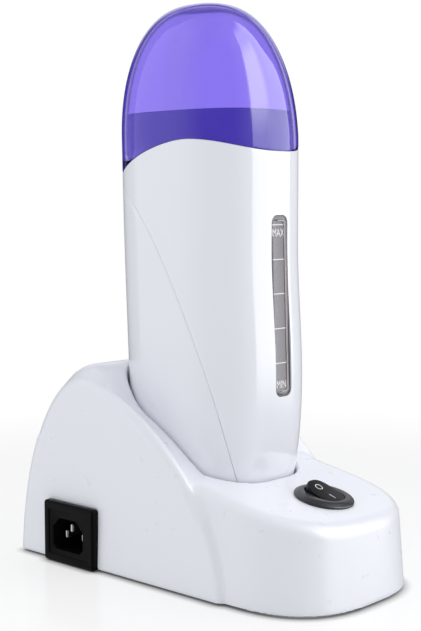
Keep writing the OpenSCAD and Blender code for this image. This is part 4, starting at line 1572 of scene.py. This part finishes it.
@dataclass
class DockBody:
    """White moulded body of the dock. Sizes are in millimetres."""

    form: DockForm
    wall: float = 2.4
    gap: float = 0.8
    floor_at: float = 25.7
    voxel: float = 0.72
    rim_radius: float = 1.2
    blend_radius: float = 4.5
    barrel: float = 20.1
    inlet: tuple[float, float, float] = (30.3, 25.3, 1.2)
    inlet_back: float = 33.75
    inlet_up: float = 12.9
    slot: tuple[float, float] = (23.3, 9.3)
    slot_at: float = 4.5
    crease_angle: float = 14.0
    crease_low: float = 2.5
    blend_low: float = 30.0

    @property
    def inlet_place(self) -> Matrix:
        """Plane of the inlet: X toward the front, Y up and Z out of the side, in metres.

        Returns:
            The plane's matrix.
        """
        spot = Vector((-self.form.width / 2, self.form.length / 2 - self.inlet_back, self.inlet_up)) * MM
        turn = Matrix(((0, 0, -1), (-1, 0, 0), (0, 1, 0))).to_4x4()
        return Matrix.Translation(spot) @ turn

    @property
    def switch_place(self) -> Matrix:
        """Plane of the switch: Z stands square to the deck, in metres."""
        spot = Vector((0, -self.form.switch_at, self.form.deck)) * MM
        return Matrix.Translation(spot) @ Matrix.Rotation(math.radians(self.form.deck_slope), 4, "X")

    def outer(self) -> bpy.types.Object:
        """Outer form: the cheeks' body and the deck in one, less the hand unit's space.

        Returns:
            The piece, with its edges still sharp.
        """
        form = self.form
        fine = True
        count, across = (91, 31) if fine else (61, 21)
        piece = solid("dock_casing", loft(form.body_rings(0, form.low, count, across)))
        work(piece, Cut.ADD, loft(form.deck_rings(0, form.low, 73, 9)))
        work(piece, Cut.REMOVE, form.well(self.gap, self.floor_at))
        return piece

    def creases(self, piece: bpy.types.Object) -> tuple[KDTree, list[float]]:
        """Find where the outer form turns sharply.

        Args:
            piece: The outer form.

        Returns:
            Points along its creases, and the blend radius at each.
        """
        bm = bmesh.new()
        bm.from_mesh(piece.data)
        spots, radii = [], []
        for edge in bm.edges:
            if len(edge.link_faces) != 2:
                continue
            angle = edge.calc_face_angle_signed(0.0)
            middle = (edge.verts[0].co + edge.verts[1].co) / 2
            if abs(math.degrees(angle)) < self.crease_angle or middle.z < self.crease_low * MM:
                continue
            hollow = angle < 0 and middle.z > self.blend_low * MM
            radius = self.blend_radius if hollow else self.rim_radius
            count = max(1, math.ceil(edge.calc_length() / (self.voxel * MM)))
            for i in range(count + 1):
                spots.append(edge.verts[0].co.lerp(edge.verts[1].co, i / count))
                radii.append(radius)
        bm.free()
        tree = KDTree(len(spots))
        for i, spot in enumerate(spots):
            tree.insert(spot, i)
        tree.balance()
        return tree, radii

    def blend(self, piece: bpy.types.Object) -> None:
        """Even out the outer form's mesh and blend its creases, as the mould's radii do.

        Args:
            piece: The outer form, which gets the new mesh.
        """
        tree, radii = self.creases(piece)
        sharp = BVHTree.FromObject(piece, bpy.context.evaluated_depsgraph_get())
        step = piece.modifiers.new("even mesh", "REMESH")
        step.mode = "VOXEL"
        step.voxel_size = self.voxel * MM
        settle(piece)
        bm = bmesh.new()
        bm.from_mesh(piece.data)
        loose: dict[float, list[bmesh.types.BMVert]] = {self.rim_radius: [], self.blend_radius: []}
        for vert in bm.verts:
            _, index, distance = tree.find(vert.co)
            if distance > radii[index] * MM:
                vert.co = sharp.find_nearest(vert.co)[0]
            else:
                loose[radii[index]].append(vert)
        for radius, verts in loose.items():
            for _ in range(round(4 * radius / self.voxel)):
                bmesh.ops.smooth_vert(
                    bm, verts=verts, factor=0.5, use_axis_x=True, use_axis_y=True, use_axis_z=True
                )
        bm.to_mesh(piece.data)
        bm.free()

    def cavity(self) -> bpy.types.Object:
        """Hollow inside the body, round the hand unit's space.

        Returns:
            A helper object.
        """
        form = self.form
        piece = solid("hollow", loft(form.body_rings(self.wall, form.low - 1, 37, 9)))
        work(piece, Cut.ADD, loft(form.deck_rings(self.wall, form.low - 1, 37, 4)))
        work(piece, Cut.REMOVE, form.well(self.gap + self.wall, self.floor_at - self.wall))
        return piece

    def casing(self) -> bpy.types.Object:
        """Dock body with its hollow and its openings.

        Returns:
            The piece.
        """
        piece = self.outer()
        self.blend(piece)
        hollow = bmesh.new()
        inner = self.cavity()
        hollow.from_mesh(inner.data)
        drop(inner)
        seat = plate(round_box(*self.inlet), -1.0, 4.0)
        tub = plate(round_box(self.inlet[0] - 6, self.inlet[1] - 6.6, 0.3, 3), -12.0, 1.0)
        for bm in (seat, tub):
            bmesh.ops.transform(bm, matrix=self.inlet_place, verts=bm.verts)
        barrel = rod(self.barrel / 2, -8, 8, 72)
        bmesh.ops.transform(barrel, matrix=self.switch_place, verts=barrel.verts)
        slot = plate(slot_outline(*self.slot), self.floor_at - 4, self.floor_at + 1)
        bmesh.ops.translate(slot, verts=slot.verts, vec=(0, self.slot_at * MM, 0))
        work(piece, Cut.REMOVE, hollow, seat, tub, barrel, slot)
        shade(piece, 36)
        hand_in(piece, DOCK_WHITE, Body.DOCK, "white_shell", "base_shell")
        return piece


@dataclass
class RockerSwitch:
    """Round rocker switch in the deck. Sizes are in millimetres."""

    place: Matrix
    bezel: float = 23.2
    barrel: float = 19.8
    depth: float = 15.0
    rise: float = 2.0
    length: float = 15.3
    width: float = 11.7
    axis: float = 0.8
    tilt: float = 11.0
    top: float = 2.5
    sag: float = 0.7
    oval_power: float = 2.5
    nest_gap: float = 0.45

    def oval(self, grow: float = 0.0, count: int = 72) -> list[tuple[float, float]]:
        """Plan outline of the rocker, grown by a gap."""
        a, b, n = self.width / 2 + grow, self.length / 2 + grow, 2 / self.oval_power
        return [(a * power(cos_deg(t), n), b * power(sin_deg(t), n)) for t in turns(count)]

    @property
    def rocker_place(self) -> Matrix:
        """Place of the rocker, tilted to its rest."""
        lift = Matrix.Translation((0, 0, self.axis * MM))
        return self.place @ lift @ Matrix.Rotation(math.radians(self.tilt), 4, "X")

    def housing(self) -> bpy.types.Object:
        """Bezel and barrel, with the rocker's nest.

        Returns:
            The piece.
        """
        r, b = self.barrel / 2, self.bezel / 2
        profile = [(0, -self.depth), (r - 0.6, -self.depth), (r, 0.6 - self.depth), (r, 0.05), (b, 0.05)]
        profile += [(b - 0.5 * (1 - cos_deg(a)), 0.5 + 0.6 * sin_deg(a)) for a in steps(0, 80, 6)]
        profile += [(r + 0.6, 1.55), (r - 0.3, 1.9), (r - 0.9, self.rise), (0, self.rise)]
        piece = solid("switch_bezel", spun(profile, 120))
        work(piece, Cut.REMOVE, plate(self.oval(self.nest_gap), 3 - self.depth, self.rise + 2))
        soften(piece, 0.15, 2)
        piece.data.transform(self.place)
        hand_in(piece, BEZEL_GREY, Body.DOCK, "bezel_grey", "switch_housing")
        return piece

    def rocker(self) -> bpy.types.Object:
        """Rocker with a hollowed top, pressed down at its front.

        Returns:
            The piece.
        """
        half = self.length / 2
        crown = [(y, self.top - self.sag * (1 - (y / half) ** 2)) for y in steps(half, -half, 17)]
        side = [(-half, 0.4), (-half + 2.5, -1.6), (-2, -4.2), (2, -4.2), (half - 2.5, -1.6), (half, 0.4)]
        cheek = plate(side + crown, -self.width, self.width)
        turn = Matrix(((0, 0, 1), (1, 0, 0), (0, 1, 0))).to_4x4()
        bmesh.ops.transform(cheek, matrix=turn, verts=cheek.verts)
        piece = solid("rocker_key", plate(self.oval(), -6, 8))
        work(piece, Cut.KEEP, cheek)
        soften(piece, 0.42, 4, 50)
        piece.data.transform(self.rocker_place)
        hand_in(piece, SWITCH_BLACK, Body.ROCKER, "black_plastic", "switch_rocker")
        return piece

    def mark(self, name: str, outline: bmesh.types.BMesh, y: float) -> bpy.types.Object:
        """A printed mark that lies on the rocker's hollowed top.

        Args:
            name: Name of the mark.
            outline: Its mesh, flat about the middle.
            y: Its place along the rocker.

        Returns:
            The piece.
        """
        half = self.length / 2
        for vert in outline.verts:
            along = vert.co.y / MM + y
            vert.co.y = along * MM
            vert.co.z += (self.top - self.sag * (1 - (along / half) ** 2)) * MM
        piece = solid(name, outline, self.rocker_place)
        hand_in(piece, INK, Body.ROCKER, "black_plastic")
        return piece

    def marks(self) -> list[bpy.types.Object]:
        """The off ring behind and the on bar in front.

        Returns:
            The two pieces.
        """
        ring = spun([(1.25, 0), (1.58, 0), (1.58, 0.05), (1.25, 0.05), (1.25, 0)], 48)
        bar = plate(round_box(0.32, 3.2, 0.1, 3), 0.0, 0.05)
        return [self.mark("off_mark", ring, 3.5), self.mark("on_mark", bar, -3.4)]


@dataclass
class MainsInlet:
    """Black mains inlet in the side of the dock. Sizes are in millimetres."""

    place: Matrix
    width: float = 30.0
    height: float = 25.0
    out: float = 2.4
    depth: float = 14.5
    mouth: tuple[float, float] = (17.9, 13.2)
    mouth_shift: tuple[float, float] = (-0.5, -0.5)
    cut: float = 4.0
    low_cut: float = 1.9
    tub: float = 19.0
    pin: tuple[float, float, float] = (1.8, 3.4, 10.8)
    earth_reach: float = 12.4
    pitch: float = 10.0

    def mouth_outline(self) -> list[tuple[float, float]]:
        """Mouth with two cut corners at the top and small ones below.

        Returns:
            Its corners, anticlockwise.
        """
        w, h = self.mouth[0] / 2, self.mouth[1] / 2
        corners = [
            (-w + self.low_cut, -h), (w - self.low_cut, -h), (w, -h + self.low_cut),
            (w, h - self.cut), (w - self.cut, h), (-w + self.cut, h), (-w, h - self.cut),
            (-w, -h + self.low_cut),
        ]
        return [(x + self.mouth_shift[0], y + self.mouth_shift[1]) for x, y in corners]

    def housing(self) -> bpy.types.Object:
        """Frame with a rounded front edge, a stepped face and the mouth, and the tub behind.

        Returns:
            The piece.
        """
        piece = solid("inlet_frame", plate(round_box(self.width, self.height, 1.3, 8), -1.0, self.out))
        soften(piece, 0.95, 4, 50)
        inner = (self.width - 6, self.height - 6.6)
        work(piece, Cut.ADD, plate(round_box(*inner, 0.3, 3), -self.tub, 0.0))
        step = plate(round_box(self.width - 6.4, self.height - 6.4, 0.9, 6), self.out - 0.4, self.out + 2)
        work(piece, Cut.REMOVE, step)
        work(piece, Cut.REMOVE, plate(self.mouth_outline(), self.out - self.depth, self.out + 1))
        holes = []
        for x, y in self.pin_spots():
            hole = plate(round_box(self.pin[0] + 0.1, self.pin[1] + 0.1, 0.3, 3), -self.tub - 1, -8.0)
            bmesh.ops.translate(hole, verts=hole.verts, vec=(x * MM, y * MM, 0))
            holes.append(hole)
        work(piece, Cut.REMOVE, *holes)
        soften(piece, 0.14, 2, 40)
        piece.data.transform(self.place)
        hand_in(piece, INLET_BLACK, Body.DOCK, "black_plastic", "inlet_housing")
        return piece

    def pin_spots(self) -> list[tuple[float, float]]:
        """Places of the three pins: two line pins and the earth pin above them."""
        return [(-self.pitch / 2, -1.2), (self.pitch / 2, -1.2), (0, 2.4)]

    def blade(self, name: str, spot: tuple[float, float], reach: float) -> bpy.types.Object:
        """One flat pin with a rounded end and its tail.

        Args:
            name: Name of the pin.
            spot: Its place in the plane of the inlet.
            reach: Its reach from the mouth's floor.

        Returns:
            The piece, without its finish.
        """
        width, height, _ = self.pin
        end = self.out - self.depth + reach
        piece = solid(name, plate(round_box(width, height, 0.7, 5), end - reach - 6, end))
        soften(piece, 0.55, 4, 50)
        work(piece, Cut.ADD, plate(round_box(0.8, height, 0.1, 3), -self.tub - 7, -16.0))
        shade(piece, 35)
        piece.data.transform(self.place @ Matrix.Translation((spot[0] * MM, spot[1] * MM, 0)))
        return piece

    def pins(self) -> None:
        """The two line pins and the earth pin."""
        left, right, earth = self.pin_spots()
        first = self.blade("line_pin_back", left, self.pin[2])
        second = self.blade("line_pin_front", right, self.pin[2])
        middle = self.blade("earth_pin", earth, self.earth_reach)
        hand_in(first, NICKEL, Body.DOCK, "pin_metal", "inlet_line_pins")
        hand_in(second, NICKEL, Body.DOCK, "pin_metal", "inlet_line_pins")
        hand_in(middle, NICKEL, Body.DOCK, "pin_metal", "inlet_earth_pin")


INNER_FINISHES: dict[str, Finish] = {
    "heater_chamber": DRAWN_ALUMINIUM,
    "heater_element": DRAWN_ALUMINIUM,
    "heater_clamp": ZINC_STEEL,
    "clamp_screws": ZINC_STEEL,
    "shell_screws": ZINC_STEEL,
    "plate_screws": ZINC_STEEL,
    "dock_screws": ZINC_STEEL,
    "thermostat": CERAMIC,
    "thermal_fuse": CERAMIC,
    "chamber_tray": TRAY_GREY,
    "socket_block": TRAY_GREY,
    "dock_block": TRAY_GREY,
    "socket_sleeves": BRIGHT_BRASS,
    "dock_pins": BRIGHT_BRASS,
    "switch_terminals": BRIGHT_BRASS,
    "bottom_plate": PLATE_GREY,
    "rubber_feet": FOOT_RUBBER,
    "unit_lead_live": WHITE_LEAD,
    "unit_lead_link": WHITE_LEAD,
    "unit_lead_return": WHITE_LEAD,
    "lead_live": BROWN_LEAD,
    "lead_switched": BROWN_LEAD,
    "lead_neutral": BLUE_LEAD,
}


# ------------------------------------------------------------------ studio


@dataclass(frozen=True)
class SkyPatch:
    """A soft-edged patch of light in the surround that only gloss reflects. Angles are in degrees."""

    start: float
    end: float
    edges: tuple[float, float]
    low: float
    high: float
    rise: float
    glow: float

    def mask(self, g: "GroupMaker", azimuth: bpy.types.NodeSocket, elevation: bpy.types.NodeSocket) -> object:
        """Add the patch's nodes.

        Args:
            g: The group that they go in.
            azimuth: Azimuth of the ray.
            elevation: Elevation of the ray.

        Returns:
            The socket with the patch's glow.
        """
        whole = self.glow
        for value, limit, edge in (
            (g.maths("MULTIPLY", azimuth, -1.0), -self.start, self.edges[0]),
            (azimuth, self.end, self.edges[1]),
            (g.maths("MULTIPLY", elevation, -1.0), -self.low, self.rise),
            (elevation, self.high, self.rise),
        ):
            whole = g.maths("MULTIPLY", self.fade(g, value, limit, limit + edge), whole)
        return whole

    @staticmethod
    def fade(g: "GroupMaker", value: bpy.types.NodeSocket, start: float, end: float) -> bpy.types.NodeSocket:
        """Share that falls smoothly from 1 at the start to 0 at the end.

        Args:
            g: The group that the node goes in.
            value: What the share is read from.
            start: Value where the share is still 1.
            end: Value where it reaches 0.

        Returns:
            The share's socket.
        """
        made = g.node("ShaderNodeMapRange", interpolation_type="SMOOTHSTEP")
        g.join(value, made.inputs["Value"])
        for name, number in (("From Min", start), ("From Max", end), ("To Min", 1.0), ("To Max", 0.0)):
            made.inputs[name].default_value = number
        return made.outputs["Result"]


@dataclass(frozen=True)
class SoftBox:
    """A soft light that faces the object. Distances are in metres and angles in degrees."""

    name: str
    azimuth: float
    elevation: float
    size: float
    glow: float
    distance: float = 1.2

    def hang(self, target: Vector) -> None:
        """Place the light so that it faces a point.

        Args:
            target: The point, in metres.
        """
        lamp = bpy.data.lights.new(self.name, "AREA")
        lamp.size = self.size
        lamp.energy = self.glow * math.pi * self.size**2
        holder = bpy.data.objects.new(self.name, lamp)
        side = Vector((
            sin_deg(self.azimuth) * cos_deg(self.elevation),
            -cos_deg(self.azimuth) * cos_deg(self.elevation),
            sin_deg(self.elevation),
        ))
        holder.location = target + side * self.distance
        holder.rotation_mode = "QUATERNION"
        holder.rotation_quaternion = side.to_track_quat("Z", "Y")
        holder.visible_camera = False
        holder.visible_glossy = False
        holder.visible_transmission = False
        bpy.context.scene.collection.objects.link(holder)


@dataclass
class Studio:
    """Pale floor, soft lights and the camera at the photograph's angle."""

    camera_at: Vector = field(default_factory=lambda: Vector((-0.3734, -0.3349, 0.1472)))
    azimuth: float = -47.7
    pitch: float = 5.10
    focal_pixels: float = 1250.0
    long_side: float = 631.0
    sensor: float = 36.0
    sky: float = 0.60
    gloss_sky: float = 0.05
    floor_glow: float = 0.66
    floor_fade: tuple[float, float] = (0.16, 0.42)
    # Reach and power of the painted contact shadow that dims the floor's glow.
    painted_contact_shadow_reach: float = 0.004
    painted_contact_shadow_power: float = 1.5
    boxes: tuple[SoftBox, ...] = (
        SoftBox("front box", 35.0, 24.0, 1.0, 1.45),
        SoftBox("left box", -125.0, 12.0, 0.9, 0.18),
        SoftBox("crest box", -122.0, 60.0, 0.9, 0.95),
        SoftBox("top box", 0.0, 90.0, 1.4, 0.62),
        SoftBox("right box", 78.0, 18.0, 0.9, 0.70),
    )
    patches: tuple[SkyPatch, ...] = (
        SkyPatch(-3.0, 63.0, (1.2, 1.5), -2.0, 62.0, 14.0, 3.8),
        SkyPatch(4.0, 32.0, (16.0, 18.0), 22.0, 42.0, 16.0, 4.2),
        SkyPatch(-156.0, -136.0, (4.0, 34.0), -60.0, 40.0, 30.0, 0.8),
        SkyPatch(-6.0, 16.0, (50.0, 12.0), -20.0, 60.0, 20.0, 0.6),
        SkyPatch(104.0, 150.0, (12.0, 14.0), 18.0, 34.0, 8.0, 1.1),
        SkyPatch(-180.0, 180.0, (1.0, 1.0), 66.0, 90.0, 16.0, 0.2),
    )

    def surround(self) -> bpy.types.NodeTree:
        """Group with the surround that gloss reflects: a level tone with patches of light.

        Returns:
            The shader group.
        """
        g = GroupMaker("gloss surround")
        vector = g.takes("Vector", "NodeSocketVector")
        split = g.node("ShaderNodeSeparateXYZ")
        g.join(vector, split.inputs[0])
        x, y, z = split.outputs
        azimuth = g.maths("DEGREES", g.maths("ARCTAN2", x, g.maths("MULTIPLY", y, -1.0)))
        elevation = g.maths("DEGREES", g.maths("ARCSINE", z))
        total = g.maths("ADD", self.gloss_sky, 0.0)
        for patch in self.patches:
            total = g.maths("ADD", total, patch.mask(g, azimuth, elevation))
        g.gives("Glow", "NodeSocketFloat", total)
        return g.tree

    def light(self) -> None:
        """Hang the soft boxes and set the surround: plain white to the eye, with patches for gloss."""
        bpy.context.scene.view_settings.view_transform = "Standard"
        low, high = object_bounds()
        for box in self.boxes:
            box.hang((low + high) / 2)
        world = bpy.data.worlds.new("studio")
        world.use_nodes = True
        tree = world.node_tree
        sky = tree.nodes["Background"]
        cool = tree.nodes.new("ShaderNodeMix")
        cool.data_type = "RGBA"
        cool.inputs[6].default_value = (0.96, 0.97, 1.0, 1.0)
        cool.inputs[7].default_value = (1.0, 1.0, 1.0, 1.0)
        path = tree.nodes.new("ShaderNodeLightPath")
        where = tree.nodes.new("ShaderNodeTexCoord")
        gloss = tree.nodes.new("ShaderNodeGroup")
        gloss.node_tree = self.surround()
        reflected = tree.nodes.new("ShaderNodeMix")
        reflected.inputs[2].default_value = self.sky
        seen = tree.nodes.new("ShaderNodeMath")
        seen.operation = "MAXIMUM"
        white = tree.nodes.new("ShaderNodeMix")
        white.inputs[3].default_value = 1.0
        links = tree.links
        links.new(where.outputs["Generated"], gloss.inputs["Vector"])
        links.new(path.outputs["Is Glossy Ray"], reflected.inputs[0])
        links.new(gloss.outputs["Glow"], reflected.inputs[3])
        links.new(path.outputs["Is Camera Ray"], seen.inputs[0])
        links.new(path.outputs["Is Transmission Ray"], seen.inputs[1])
        links.new(seen.outputs[0], white.inputs[0])
        links.new(seen.outputs[0], cool.inputs["Factor"])
        links.new(cool.outputs[2], sky.inputs["Color"])
        links.new(reflected.outputs[0], white.inputs[2])
        links.new(white.outputs[0], sky.inputs["Strength"])
        bpy.context.scene.world = world

    def floor(self) -> None:
        """Lay the pale floor, which fades into the white surround away from the object, with a painted
        contact shadow where ambient occlusion dims its glow near the object.
        """
        bm = bmesh.new()
        bmesh.ops.create_grid(bm, x_segments=1, y_segments=1, size=12.0)
        piece = solid("floor", bm)
        finish = MouldedPlastic(
            "pale floor", (0.93, 0.93, 0.93), roughness=0.18, uneven=0.02, relief=0.0, mottle=0.005,
        )
        made = material(finish)
        tree = made.node_tree
        shader = tree.nodes["Principled BSDF"]
        where = tree.nodes.new("ShaderNodeTexCoord")
        reach = tree.nodes.new("ShaderNodeVectorMath")
        reach.operation = "LENGTH"
        fade = tree.nodes.new("ShaderNodeMapRange")
        fade.interpolation_type = "SMOOTHSTEP"
        fade.inputs["From Min"].default_value, fade.inputs["From Max"].default_value = self.floor_fade
        fade.inputs["To Min"].default_value = self.floor_glow
        surround = tree.nodes.new("ShaderNodeEmission")
        # Painted contact shadow: ambient occlusion, raised to a power, dims the floor's glow near the object.
        painted_contact_shadow = tree.nodes.new("ShaderNodeAmbientOcclusion")
        painted_contact_shadow.inputs["Distance"].default_value = self.painted_contact_shadow_reach
        shade = tree.nodes.new("ShaderNodeMath")
        shade.operation = "POWER"
        shade.inputs[1].default_value = self.painted_contact_shadow_power
        tree.links.new(painted_contact_shadow.outputs["AO"], shade.inputs[0])
        tree.links.new(shade.outputs[0], surround.inputs["Strength"])
        mix = tree.nodes.new("ShaderNodeMixShader")
        tree.links.new(where.outputs["Object"], reach.inputs[0])
        tree.links.new(reach.outputs["Value"], fade.inputs["Value"])
        tree.links.new(fade.outputs["Result"], mix.inputs[0])
        tree.links.new(shader.outputs[0], mix.inputs[1])
        tree.links.new(surround.outputs[0], mix.inputs[2])
        tree.links.new(mix.outputs[0], tree.nodes["Material Output"].inputs["Surface"])
        piece.data.materials.append(made)
        piece.visible_glossy = False
        piece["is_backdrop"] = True

    def camera(self) -> None:
        """Set the camera where the photograph was taken from."""
        data = bpy.data.cameras.new("camera")
        data.lens = self.focal_pixels / self.long_side * self.sensor
        data.sensor_width = self.sensor
        data.clip_start, data.clip_end = 0.01, 100.0
        holder = bpy.data.objects.new("camera", data)
        level = Vector((-sin_deg(self.azimuth), cos_deg(self.azimuth), 0))
        sight = level * cos_deg(self.pitch) - Vector((0, 0, sin_deg(self.pitch)))
        holder.location = self.camera_at
        holder.rotation_mode = "QUATERNION"
        holder.rotation_quaternion = sight.to_track_quat("-Z", "Y")
        bpy.context.scene.collection.objects.link(holder)
        bpy.context.scene.camera = holder


def main() -> None:
    """Build the pieces in order, dress the CAD nodes and set the studio."""
    logging.basicConfig(level=logging.INFO, format="%(name)s %(message)s")
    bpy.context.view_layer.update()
    studio = Studio()
    studio.camera()
    form = UnitForm.from_frame()
    unit = HandUnit(form)
    unit.front_casing()
    unit.rear_casing()
    unit.collar(Chamber())
    unit.cap()
    window = LevelWindow(unit)
    window.lens()
    window.scale()
    window.bands()
    dock = DockBody(DockForm.from_frame(form))
    dock.casing()
    switch = RockerSwitch(dock.switch_place)
    switch.housing()
    switch.rocker()
    switch.marks()
    inlet = MainsInlet(dock.inlet_place)
    inlet.housing()
    inlet.pins()
    for node, finish in INNER_FINISHES.items():
        dress_node(node, finish)
    studio.light()
    studio.floor()


if __name__ == "__main__":
    main()
